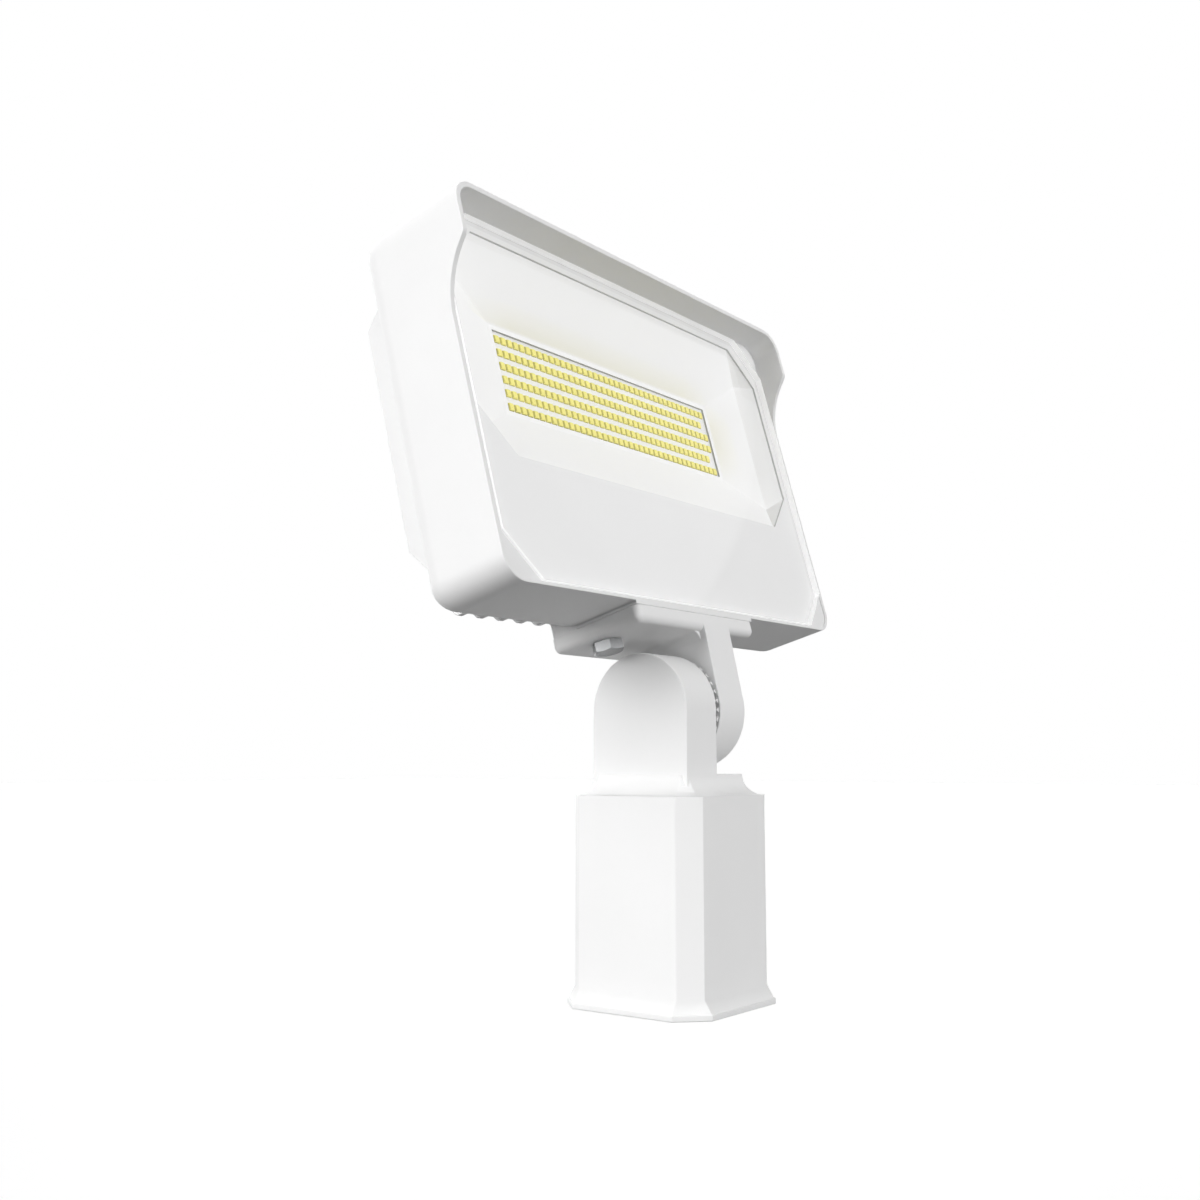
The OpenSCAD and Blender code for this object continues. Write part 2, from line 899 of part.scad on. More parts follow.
// Heat-conducting sheet between the lamp board and the heat sink
module thermal_pad() {
    color("lightgray")
        in_head()
            difference() {
                along_y(board_back, seat_front)
                    band(board_w, board_low, board_high);
                at_board_screws()
                    bar_y(board_screw_d / 2 + hole_gap, board_back - cut, seat_front + cut);
            }
}

// Two-pole connector on the lamp board's lower edge
module board_connector() {
    color("ivory")
        in_head()
            translate([lamp_x + lead_step / 2 - connector_size[0] / 2,
                board_front - connector_size[1], connector_low])
                cube(connector_size);
}

// Straight insulated lead between two points on one line along X, Y or Z
module lead_run(from, to) {
    span = to - from;
    translate(from)
        if (span[0] != 0)
            bar_x(lead_r, min(0, span[0]), max(0, span[0]));
        else if (span[1] != 0)
            bar_y(lead_r, min(0, span[1]), max(0, span[1]));
        else
            cylinder(r = lead_r, h = span[2]);
}

// Insulated lead through a list of points, with a round elbow at each bend
module lead_path(points) {
    for (i = [1 : len(points) - 1])
        lead_run(points[i - 1], points[i]);
    for (i = [1 : len(points) - 2])
        translate(points[i])
            sphere(lead_r, $fn = 32);
}

// Lead from the driver's card out of its end, forward, then up into the lamp board's connector
module lamp_lead(x, z) {
    in_head()
        lead_path([[lead_card_x, card_front, z], [lead_card_x, lamp_y, z], [x, lamp_y, z],
            [x, lamp_front_y, z], [x, lamp_front_y, connector_low]]);
}

// Positive lead of the lamp board
module lead_positive() {
    color("firebrick")
        lamp_lead(lamp_x, lamp_z);
}

// Negative lead, below and to the right of the positive one so that the two never cross
module lead_negative() {
    color("dimgray")
        lamp_lead(lamp_x + lead_step, lamp_z - lead_step);
}

// Lead from the terminal block's left side into the driver and back to its card
module mains_lead(z) {
    in_head()
        lead_path([[terminal_left, mains_y, z], [lead_card_x, mains_y, z],
            [lead_card_x, card_front, z]]);
}

// Live mains lead
module mains_line() {
    color("saddlebrown")
        mains_lead(mains_z);
}

// Neutral mains lead
module mains_neutral() {
    color("steelblue")
        mains_lead(mains_z - lead_step);
}

// Earth lead from the terminal block to a ring lug on the heat sink's plate
module earth_lead() {
    lug_front = plate_front - lug_t;
    color("yellowgreen")
        in_head()
            difference() {
                union() {
                    lead_path([[terminal_left, earth_y, earth_z], [earth_x, earth_y, earth_z],
                        [earth_x, lug_front, earth_z]]);
                    along_y(lug_front, plate_front)
                        translate([earth_x, 0]) {
                            translate([0, lug_z])
                                circle(lug_r);
                            band(2 * lead_r, lug_z, earth_z + lead_r);
                        }
                }
                translate([earth_x, 0, lug_z])
                    bar_y(earth_screw_d / 2 + hole_gap, lug_front - cut, plate_front + cut);
            }
}

// Pan head screw that holds the earth lug to the heat sink's plate
module earth_screw() {
    lug_front = plate_front - lug_t;
    color("silver")
        in_head()
            translate([earth_x, 0, lug_z]) {
                bar_y(earth_screw_d / 2, lug_front, lug_front + earth_screw_len);
                bar_y(earth_screw_cap / 2, lug_front - earth_screw_head, lug_front);
            }
}

// Side outline of a cooling fin: foot, rounded nose, bevel, straight back, top bevel
module fin_outline() {
    bevel = atan2(fin_foot_bevel, fin_reach - fin_foot);
    nose_y = plate_back + fin_foot - fin_nose_r * tan(bevel / 2);
    root_y = plate_back - plate_t / 2;
    polygon(concat([[root_y, plate_high - fin_top_drop], [root_y, plate_low], [plate_back, plate_low],
        [plate_back, fin_low]],
        [for (i = [0 : 6])
            let (a = bevel * i / 6 - 90)
                [nose_y + fin_nose_r * cos(a), fin_low + fin_nose_r + fin_nose_r * sin(a)]],
        [[fin_back, fin_low + fin_foot_bevel], [fin_back, fin_top - fin_top_bevel],
            [plate_back, fin_top]]));
}

// Side outline of the outermost fins, with one long bevel at each end
module side_fin_outline() {
    foot = fin_low + fin_side_rise;
    root_y = plate_back - plate_t / 2;
    polygon([[root_y, fin_top], [root_y, foot], [plate_back, foot],
        [fin_back, foot + fin_side_bevel], [fin_back, fin_top - fin_top_bevel],
        [plate_back, fin_top]]);
}

// Places its children at one pair of fins
module at_fin_pair(i) {
    for (side = [-1, 1])
        translate([side * (i + 0.5) * fin_pitch, 0, 0])
            children();
}

// All fins, cut away round the gland and below it
module fins() {
    room = gland_pad_r + cut;
    difference() {
        union() {
            for (i = [0 : fin_pairs - 2])
                at_fin_pair(i)
                    along_x(-fin_t / 2, fin_t / 2)
                        fin_outline();
            at_fin_pair(fin_pairs - 1)
                along_x(-fin_t / 2, fin_t / 2)
                    side_fin_outline();
        }
        translate([gland_x, 0, gland_z])
            bar_y(room, plate_back, fin_back + cut);
        translate([gland_x - room, plate_back, 0])
            cube([2 * room, fin_reach + cut, gland_z]);
    }
}

// Hollow behind the lamp board's seat, crossed by the inner fins
module seat_hollow() {
    hollow_back = plate_back + cut;
    hollow_front = seat_front + seat_wall;
    difference() {
        along_y(hollow_front, hollow_back)
            band(seat_w - 2 * seat_wall, seat_low + seat_wall, seat_high - seat_wall);
        for (i = [0 : seat_pairs - 1])
            at_fin_pair(i)
                along_y(seat_front, hollow_back + cut)
                    band(fin_t, seat_low, seat_high);
    }
}

// Heat sink: flanged plate, raised seat for the lamp board, upright fins and gland pad
module heat_sink() {
    tab_hole = plate_front - case_t + driver_screw_len + tip_gap;
    earth_hole = plate_front - lug_t + earth_screw_len + tip_gap;
    color("white")
        in_head()
            difference() {
                union() {
                    along_y(plate_front, plate_back)
                        round_rect(plate_w, plate_low, plate_high, plate_r);
                    along_y(seat_front, plate_back)
                        band(seat_w, seat_low, seat_high);
                    translate([gland_x, 0, gland_z])
                        bar_y(gland_pad_r, plate_front, gland_pad_back);
                    fins();
                }
                seat_hollow();
                translate([gland_x, 0, gland_z])
                    bar_y(gland_thread_r + thread_gap, plate_front - cut, gland_pad_back + cut);
                at_board_screws()
                    bar_y(board_screw_d / 2 + thread_gap, seat_front - cut,
                        board_front + board_screw_len + tip_gap);
                at_sink_screws()
                    bar_y(sink_screw_d / 2 + hole_gap, plate_front - cut, plate_back + cut);
                for (x = tab_screw_x)
                    translate([x, 0, case_middle])
                        bar_y(driver_screw_d / 2 + thread_gap, plate_front - cut, tab_hole);
                translate([earth_x, 0, lug_z])
                    bar_y(earth_screw_d / 2 + thread_gap, plate_front - cut, earth_hole);
            }
}

// Flat seal between the shell's back and the heat sink
module housing_gasket() {
    color("dimgray")
        in_head()
            difference() {
                along_y(back_reach, plate_front)
                    difference() {
                        round_rect(plate_w - 2 * gasket_edge, plate_low + gasket_edge,
                            plate_high - gasket_edge, plate_r);
                        round_rect(back_open_w, back_open_low, back_open_high, plate_r);
                    }
                at_sink_screws()
                    bar_y(sink_screw_d / 2 + hole_gap, back_reach - cut, plate_front + cut);
            }
}

// Pan head screws that hold the heat sink to the shell
module housing_screws() {
    color("silver")
        in_head()
            at_sink_screws() {
                bar_y(sink_screw_d / 2, plate_back - sink_screw_len, plate_back);
                bar_y(sink_screw_cap / 2, plate_back, plate_back + sink_screw_head);
            }
}

// Driver case: open tub with posts for its card and a screw tab at each end
module driver_case() {
    base = plate_front - case_t;
    hollow_high = case_high - case_t;
    color("silver")
        in_head()
            difference() {
                union() {
                    along_y(case_front, plate_front)
                        translate([case_left, case_low])
                            square([case_w, case_h]);
                    along_y(base, plate_front)
                        translate([case_left - tab_len, case_middle - tab_h / 2])
                            square([case_w + 2 * tab_len, tab_h]);
                }
                difference() {
                    along_y(case_front - cut, base)
                        translate([case_left + case_t, case_low + case_t])
                            square([case_w - 2 * case_t, case_h - 2 * case_t]);
                    for (x = [case_left + post_in[0], case_right - post_in[0]],
                            z = [case_low + post_in[1], case_high - post_in[1]])
                        translate([x, 0, z])
                            bar_y(post_r, card_back, plate_front);
                }
                for (x = tab_screw_x)
                    translate([x, 0, case_middle])
                        bar_y(driver_screw_d / 2 + hole_gap, base - cut, plate_front + cut);
                for (drop = [0, lead_step]) {
                    translate([case_right, lamp_y, lamp_z - drop])
                        bar_x(lead_r + hole_gap, -case_t - cut, cut);
                    translate([case_right, mains_y, mains_z - drop])
                        bar_x(lead_r + hole_gap, -case_t - cut, cut);
                }
            }
}

// Lid of the driver case
module driver_cover() {
    color("silver")
        in_head()
            along_y(case_front - cover_t, case_front)
                translate([case_left, case_low])
                    square([case_w, case_h]);
}

// Circuit card of the driver
module driver_board() {
    color("darkgreen")
        in_head()
            along_y(card_front, card_back)
                translate([case_left + card_inset, case_low + card_inset])
                    square([case_w - 2 * card_inset, case_h - 2 * card_inset]);
}

// Places its children on the card's front at distance x from the case's left end
module on_card(x) {
    translate([case_left + x, card_front, case_middle])
        children();
}

// Transformer on the driver's card
module driver_transformer() {
    color("goldenrod")
        in_head()
            on_card(transformer_share * case_w)
                translate([-transformer_size[0] / 2, -transformer_size[1],
                    -transformer_size[2] / 2])
                    cube(transformer_size);
}

// Two can capacitors on the driver's card
module driver_capacitors() {
    color("black")
        in_head()
            for (x = can_in)
                on_card(x)
                    bar_y(can_r, -can_h, 0);
}

// Ring choke on the driver's card
module driver_choke() {
    color("olive")
        in_head()
            on_card(choke_share * case_w)
                difference() {
                    bar_y(choke_r, -choke_h, 0);
                    bar_y(choke_eye_r, -choke_h - cut, cut);
                }
}

// Screws of the driver's two tabs
module driver_screws() {
    seat = plate_front - case_t;
    color("silver")
        in_head()
            for (x = tab_screw_x)
                translate([x, 0, case_middle]) {
                    bar_y(driver_screw_d / 2, seat, seat + driver_screw_len);
                    bar_y(driver_screw_cap / 2, seat - driver_screw_head, seat);
                }
}

// Mains terminal block beside the driver
module terminal_block() {
    color("ivory")
        in_head()
            translate([terminal_left, plate_front - terminal_size[1], terminal_low])
                cube(terminal_size);
}

// Places its children on the gland's axis, with y = 0 on its pad's face
module at_gland() {
    in_head()
        translate([gland_x, gland_pad_back, gland_z])
            children();
}

// Hexagonal prism along Y from y0 to y1
module hex_y(flats, y0, y1) {
    translate([0, y0, 0])
        rotate([-90, 0, 0])
            hex(flats, y1 - y0);
}

// Cable gland body, screwed into the heat sink's pad
module cable_gland() {
    inner = gland_inset - plate_t - gland_pad_h;
    outer = gland_hex_t + gland_neck;
    color("dimgray")
        at_gland()
            difference() {
                union() {
                    bar_y(gland_thread_r, inner, outer);
                    hex_y(gland_flats, 0, gland_hex_t);
                }
                bar_y(gland_bore_r, inner - cut, outer + cut);
            }
}

// Rubber seal inside the gland
module gland_seal() {
    color("black")
        at_gland()
            difference() {
                bar_y(gland_bore_r - thread_gap, gland_hex_t, gland_hex_t + gland_neck);
                bar_y(seal_bore_r, gland_hex_t - cut, gland_hex_t + gland_neck + cut);
            }
}

// Domed nut that closes the gland
module gland_nut() {
    start = gland_hex_t + nut_gap;
    thread_end = gland_hex_t + gland_neck + sheet_gap;
    end = start + nut_t + nut_dome;
    mouth_r = seal_bore_r + nut_mouth;
    color("dimgray")
        at_gland()
            difference() {
                union() {
                    hex_y(gland_flats, start, start + nut_t);
                    translate([0, start + nut_t, 0])
                        rotate([-90, 0, 0])
                            cylinder(r1 = gland_flats / 2, r2 = gland_thread_r + nut_gap / 2,
                                h = nut_dome);
                }
                bar_y(gland_thread_r + thread_gap, start - cut, thread_end);
                bar_y(mouth_r, thread_end - cut, end + cut);
            }
}

slipfitter_housing();
tenon_screws();
wire_grommet();
pivot_bolt();
pivot_washer();
pivot_lock_washer();
knuckle_bracket();
bracket_bolts();
front_shell();
cover_glass();
glass_gasket();
mask_plate();
reflector();
led_board();
led_chips();
board_screws();
thermal_pad();
board_connector();
lead_positive();
lead_negative();
heat_sink();
housing_gasket();
housing_screws();
driver_case();
driver_cover();
driver_board();
driver_transformer();
driver_capacitors();
driver_choke();
driver_screws();
terminal_block();
mains_line();
mains_neutral();
earth_lead();
earth_screw();
cable_gland();
gland_seal();
gland_nut();
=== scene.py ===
"""LED flood light on a slipfitter: materials, softened castings, fasteners and lamps in detail.

Metres in the part's own frame. Pieces inside the head are laid out in its own upright
frame, whose origin is the hinge axis: x along the hinge, y back, z up the head.
"""
import json
import math

import bmesh
import bpy
from mathutils import Matrix, Vector


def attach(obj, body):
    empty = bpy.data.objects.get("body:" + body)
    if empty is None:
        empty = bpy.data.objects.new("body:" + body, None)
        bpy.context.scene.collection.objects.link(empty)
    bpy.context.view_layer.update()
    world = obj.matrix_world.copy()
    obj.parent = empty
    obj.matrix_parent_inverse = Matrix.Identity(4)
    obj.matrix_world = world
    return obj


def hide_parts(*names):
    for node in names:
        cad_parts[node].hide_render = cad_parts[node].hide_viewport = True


MM = 0.001
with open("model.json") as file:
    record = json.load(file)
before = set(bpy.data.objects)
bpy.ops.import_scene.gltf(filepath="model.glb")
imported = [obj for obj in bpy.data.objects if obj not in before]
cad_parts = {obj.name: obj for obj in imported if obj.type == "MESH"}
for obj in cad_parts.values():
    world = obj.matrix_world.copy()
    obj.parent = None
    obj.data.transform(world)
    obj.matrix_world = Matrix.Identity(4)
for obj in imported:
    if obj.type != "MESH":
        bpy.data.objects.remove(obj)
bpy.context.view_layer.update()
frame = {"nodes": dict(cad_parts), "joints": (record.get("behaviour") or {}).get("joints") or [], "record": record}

# ---------------------------------------------------------------- sizes repeated from the CAD

TILT = math.radians(15.5)
PIVOT = Vector(frame["joints"][0]["pos_m"])
HEAD = Matrix.Translation(PIVOT) @ Matrix.Rotation(-TILT, 4, "X")
HEAD_UP = Vector((0, math.sin(TILT), math.cos(TILT)))

# Bracket bolts, tenon screws and pivot bolt: hex heads, shanks and places
BOLT_X, BOLT_FLATS, BOLT_HEAD, BLOCK_LOW = 38 * MM, 13 * MM, 5.3 * MM, 32 * MM
BOLT_D, BOLT_LEN, BOLT_PITCH, BOLT_TURN = 8 * MM, 22 * MM, 1.25 * MM, math.radians(15)
TENON_FLATS, TENON_HEAD, TENON_D, TENON_PITCH = 16 * MM, 6.4 * MM, 10 * MM, 1.5 * MM
TENON_LEN, TENON_START, TENON_LEVELS = 12 * MM, 30.8 * MM, (28 * MM, 64 * MM)
PIVOT_FLATS, PIVOT_HEAD, PIVOT_D, PIVOT_TIP = 18 * MM, 7.5 * MM, 12 * MM, 0.8 * MM
PIVOT_FACE, PIVOT_END = 30.5 * MM, -14 * MM

# Lamps and the tray's slot that they show through
LED_W, LED_H = 3.7 * MM, 3.8 * MM
LED_COLS, LED_ROWS, SHORT_ROWS = 40, 6, (1, 4)
LED_PITCH_X, LED_PITCH_Z = 4.36 * MM, 6.88 * MM
LED_CENTRE, BOARD_FRONT, SLOT_TOP = 153.4 * MM, -9.7 * MM, 174.6 * MM
SLOT_SIDE = 88.2 * MM
ARRAY_W = (LED_COLS - 1) * LED_PITCH_X + LED_W
ARRAY_H = (LED_ROWS - 1) * LED_PITCH_Z + LED_H

# Screws' places on the head in mm; then head's width and height, thread and length of each kind
BOARD_SCREW_X, BOARD_SCREW_Z = (-86, -30.1, 30.1, 86), (115, 186.5)
SINK_SCREW_X, SINK_SCREW_Z, PLATE_BACK = (-107.2, -40.2, 40.2, 107.2), (60.5, 200.5), 22.6 * MM
BOARD_SCREW = (5.6 * MM, 1.6 * MM, 3 * MM, 4.7 * MM)
SINK_SCREW = (7 * MM, 2.6 * MM, 4 * MM, 11.8 * MM)

# Window: each outline grows a hair to close the play round it, corners at the cut's share
PANE_GAP, PANE_GROWTH, PANE_BEVEL, PANE_REFLECTION = 0.03 * MM, 0.15 * MM, 0.3 * MM, 0.38
SEAL_GROWTH, MASK_GROWTH, OUTLINE_DEPTH = 0.16 * MM, 0.27 * MM, 0.1 * MM
CUT_SHARE = math.tan(math.radians(22.5))
# Half width, low and high of the space whose cut edges are an opening's and take painted shade
MASK_OPENING, TRAY_SLOT = (129 * MM, 100 * MM, 212 * MM), (90 * MM, 130 * MM, 178 * MM)

# Corner between the bracket's block and lip
LIP_ROOT_R, LIP_START, LIP_BACK, LIP_STRAIGHT = 12.05 * MM, 6.6 * MM, 22.7 * MM, 46 * MM
LIP_LOW, LIP_TOP, LIP_CORNER = 41.35 * MM, 48.8 * MM, 3.3 * MM
LIP_FOOT, LIP_DROP, LIP_SHARP = LIP_LOW - 3.5 * MM, 3.8 * MM, math.radians(40)
LIP_ENDS = (0, 25, 50, 70, 80)

# ---------------------------------------------------------------- node helpers


def new_material(name):
    """An empty node material and its Principled shader."""
    mat = bpy.data.materials.new(name)
    mat.use_nodes = True
    tree = mat.node_tree
    shader = tree.nodes["Principled BSDF"]
    return mat, tree, shader


def noise(tree, scale, detail=2.0, stretch=(1, 1, 1)):
    """Noise in the part's own metres, as a 0 to 1 output."""
    coords = tree.nodes.new("ShaderNodeTexCoord")
    mapping = tree.nodes.new("ShaderNodeMapping")
    mapping.inputs["Scale"].default_value = stretch
    tex = tree.nodes.new("ShaderNodeTexNoise")
    tex.inputs["Scale"].default_value = scale
    tex.inputs["Detail"].default_value = detail
    tree.links.new(coords.outputs["Object"], mapping.inputs["Vector"])
    tree.links.new(mapping.outputs["Vector"], tex.inputs["Vector"])
    return tex.outputs["Fac"]


def remap(tree, source, low, high, start=0.3, end=0.7):
    """A value from low to high as the source goes from start to end."""
    node = tree.nodes.new("ShaderNodeMapRange")
    for socket, value in zip(("From Min", "From Max", "To Min", "To Max"), (start, end, low, high)):
        node.inputs[socket].default_value = value
    tree.links.new(source, node.inputs["Value"])
    return node.outputs["Result"]


def feed(tree, socket, value):
    """Gives a socket a number, or links an output to it."""
    if isinstance(value, bpy.types.NodeSocket):
        tree.links.new(value, socket)
    else:
        socket.default_value = value


def calculate(tree, operation, one, two, clamp=False):
    """A Math node of two values, each a number or an output."""
    node = tree.nodes.new("ShaderNodeMath")
    node.operation = operation
    node.use_clamp = clamp
    feed(tree, node.inputs[0], one)
    feed(tree, node.inputs[1], two)
    return node.outputs[0]


def distance_along(tree, source, direction):
    """How far a place lies along a direction."""
    dot = tree.nodes.new("ShaderNodeVectorMath")
    dot.operation = "DOT_PRODUCT"
    tree.links.new(source, dot.inputs[0])
    dot.inputs[1].default_value = direction
    return dot.outputs["Value"]


def blend_colours(tree, factor, one, two):
    """The colour between one and two at a factor."""
    node = tree.nodes.new("ShaderNodeMix")
    node.data_type = "RGBA"
    node.inputs[6].default_value = (*one, 1)
    node.inputs[7].default_value = (*two, 1)
    tree.links.new(factor, node.inputs[0])
    return node.outputs[2]


def scaled(colour, share):
    """The colour times a share."""
    return tuple(min(1, c * share) for c in colour)


def add_bump(tree, shader, height, depth, strength=0.5, under=None):
    """Puts a bump of a real depth on the shader, over an earlier one if there is any."""
    bump = tree.nodes.new("ShaderNodeBump")
    bump.inputs["Strength"].default_value = strength
    bump.inputs["Distance"].default_value = depth
    tree.links.new(height, bump.inputs["Height"])
    if under:
        tree.links.new(under, bump.inputs["Normal"])
    tree.links.new(bump.outputs["Normal"], shader.inputs["Normal"])
    return bump.outputs["Normal"]


def surface(name, colour, rough, metal=0.0, grain=2500, depth=0.02, mottle=0.03, patch=60,
            stretch=(1, 1, 1), level=0.5):
    """A plain finish: mottled colour, uneven roughness and a fine grain in its surface."""
    mat, tree, shader = new_material(name)
    shader.inputs["Metallic"].default_value = metal
    shader.inputs["Specular IOR Level"].default_value = level
    clouds = noise(tree, patch, 3.0, stretch)
    fine = noise(tree, grain, 2.0, stretch)
    tint = blend_colours(tree, remap(tree, clouds, 0, 1), scaled(colour, 1 - mottle),
                         scaled(colour, 1 + mottle / 2))
    tree.links.new(tint, shader.inputs["Base Color"])
    tree.links.new(remap(tree, fine, rough[0], rough[1]), shader.inputs["Roughness"])
    add_bump(tree, shader, fine, depth * MM)
    return mat


# ---------------------------------------------------------------- materials


# The tray's cream colour is painted light: a warm, darker tint for the lamps' yellow light bouncing in the tray
# and the shade on its top wall
COAT_WHITE, TRAY_WHITE, TRAY_LAMP_GLOW = (0.83, 0.83, 0.83), (0.985, 0.985, 0.985), (0.9, 0.89, 0.8)
# Where the painted cream of lamp light and shade starts, is full, holds and ends, in mm: above the slot and across
# the head, then beside the slot and up the head
LAMP_GLOW_ABOVE, LAMP_GLOW_ACROSS = (2.0, 3.5, 4, 16), (-112, -75, 70, 100)
LAMP_GLOW_BESIDE, LAMP_GLOW_UP = (2.0, 3.5, 5, 24), (128, 150, 165, 182)
# Strength of the painted glow on the pane's ground edge, which is no lamp
GLASS_IOR, PAINTED_EDGE_GLOW = 1.5, 0.3


def powder_coat():
    """White powder coat: orange peel a millimetre wide, finer grain and faint mottling."""
    mat, tree, shader = new_material("white_powder_coat")
    clouds = noise(tree, 25, 3.0)
    peel = noise(tree, 700, 1.0)
    grain = noise(tree, 3200, 2.0)
    tint = blend_colours(tree, remap(tree, clouds, 0, 1), scaled(COAT_WHITE, 0.988),
                         scaled(COAT_WHITE, 1.006))
    tree.links.new(tint, shader.inputs["Base Color"])
    tree.links.new(remap(tree, peel, 0.46, 0.56), shader.inputs["Roughness"])
    shader.inputs["Specular IOR Level"].default_value = 0.25
    first = add_bump(tree, shader, peel, 0.012 * MM, 0.35)
    add_bump(tree, shader, grain, 0.004 * MM, 0.35, first)
    return mat


def reflector_paint():
    """Matte white paint with painted light: a warm, darker cream tint for the lamps' light and shade above and
    right of the slot.
    """
    mat, tree, shader = new_material("white_reflector_painted_lamp_glow")
    place = tree.nodes.new("ShaderNodeTexCoord").outputs["Object"]

    def glow_band(source, start, places):
        """Rises over the first two places from the start, stays, and falls over the last two."""
        low, full, hold, end = (start + p * MM for p in places)
        return calculate(tree, "MULTIPLY", remap(tree, source, 0.0, 1.0, low, full),
                         remap(tree, source, 1.0, 0.0, hold, end))

    side, rise = distance_along(tree, place, (1, 0, 0)), distance_along(tree, place, HEAD_UP)
    up = PIVOT.dot(HEAD_UP)
    top = calculate(tree, "MULTIPLY", glow_band(rise, up + SLOT_TOP, LAMP_GLOW_ABOVE),
                    glow_band(side, 0, LAMP_GLOW_ACROSS))
    right = calculate(tree, "MULTIPLY", glow_band(side, SLOT_SIDE, LAMP_GLOW_BESIDE),
                      glow_band(rise, up, LAMP_GLOW_UP))
    # Painted light and shade: the tray white turns to the darker cream inside the two bands
    tint = blend_colours(tree, calculate(tree, "MAXIMUM", top, right), TRAY_WHITE, TRAY_LAMP_GLOW)
    tree.links.new(tint, shader.inputs["Base Color"])
    fine = noise(tree, 1800, 2.0)
    tree.links.new(remap(tree, fine, 0.5, 0.62), shader.inputs["Roughness"])
    shader.inputs["Specular IOR Level"].default_value = 0.3
    add_bump(tree, shader, fine, 0.006 * MM, 0.3)
    return mat


def clear_glass():
    """Clear pane: coated glass, whose Fresnel reflection is weaker than plain glass."""
    mat, tree, shader = new_material("clear_glass")
    clear = tree.nodes.new("ShaderNodeBsdfTransparent")
    clear.inputs["Color"].default_value = (1, 1, 1, 1)
    gloss = tree.nodes.new("ShaderNodeBsdfGlossy")
    gloss.inputs["Color"].default_value = (1, 1, 1, 1)
    fine = noise(tree, 8, 2.0)
    tree.links.new(remap(tree, fine, 0.0, 0.02), gloss.inputs["Roughness"])
    fresnel = tree.nodes.new("ShaderNodeFresnel")
    fresnel.inputs["IOR"].default_value = GLASS_IOR
    face = tree.nodes.new("ShaderNodeNewGeometry")
    front = calculate(tree, "SUBTRACT", 1.0, face.outputs["Backfacing"])
    weak = calculate(tree, "MULTIPLY", fresnel.outputs["Fac"], PANE_REFLECTION)
    share = calculate(tree, "MULTIPLY", weak, front, clamp=True)
    mix = tree.nodes.new("ShaderNodeMixShader")
    tree.links.new(share, mix.inputs["Fac"])
    tree.links.new(clear.outputs[0], mix.inputs[1])
    tree.links.new(gloss.outputs[0], mix.inputs[2])
    out = tree.nodes["Material Output"]
    tree.links.new(mix.outputs[0], out.inputs["Surface"])
    tree.nodes.remove(shader)
    return mat


def add_painted_glow(mat, strength):
    """Painted glow: white emission that stands in for the light a pane carries to its ground edge."""
    shader = mat.node_tree.nodes["Principled BSDF"]
    shader.inputs["Emission Color"].default_value = (1, 1, 1, 1)
    shader.inputs["Emission Strength"].default_value = strength
    return mat


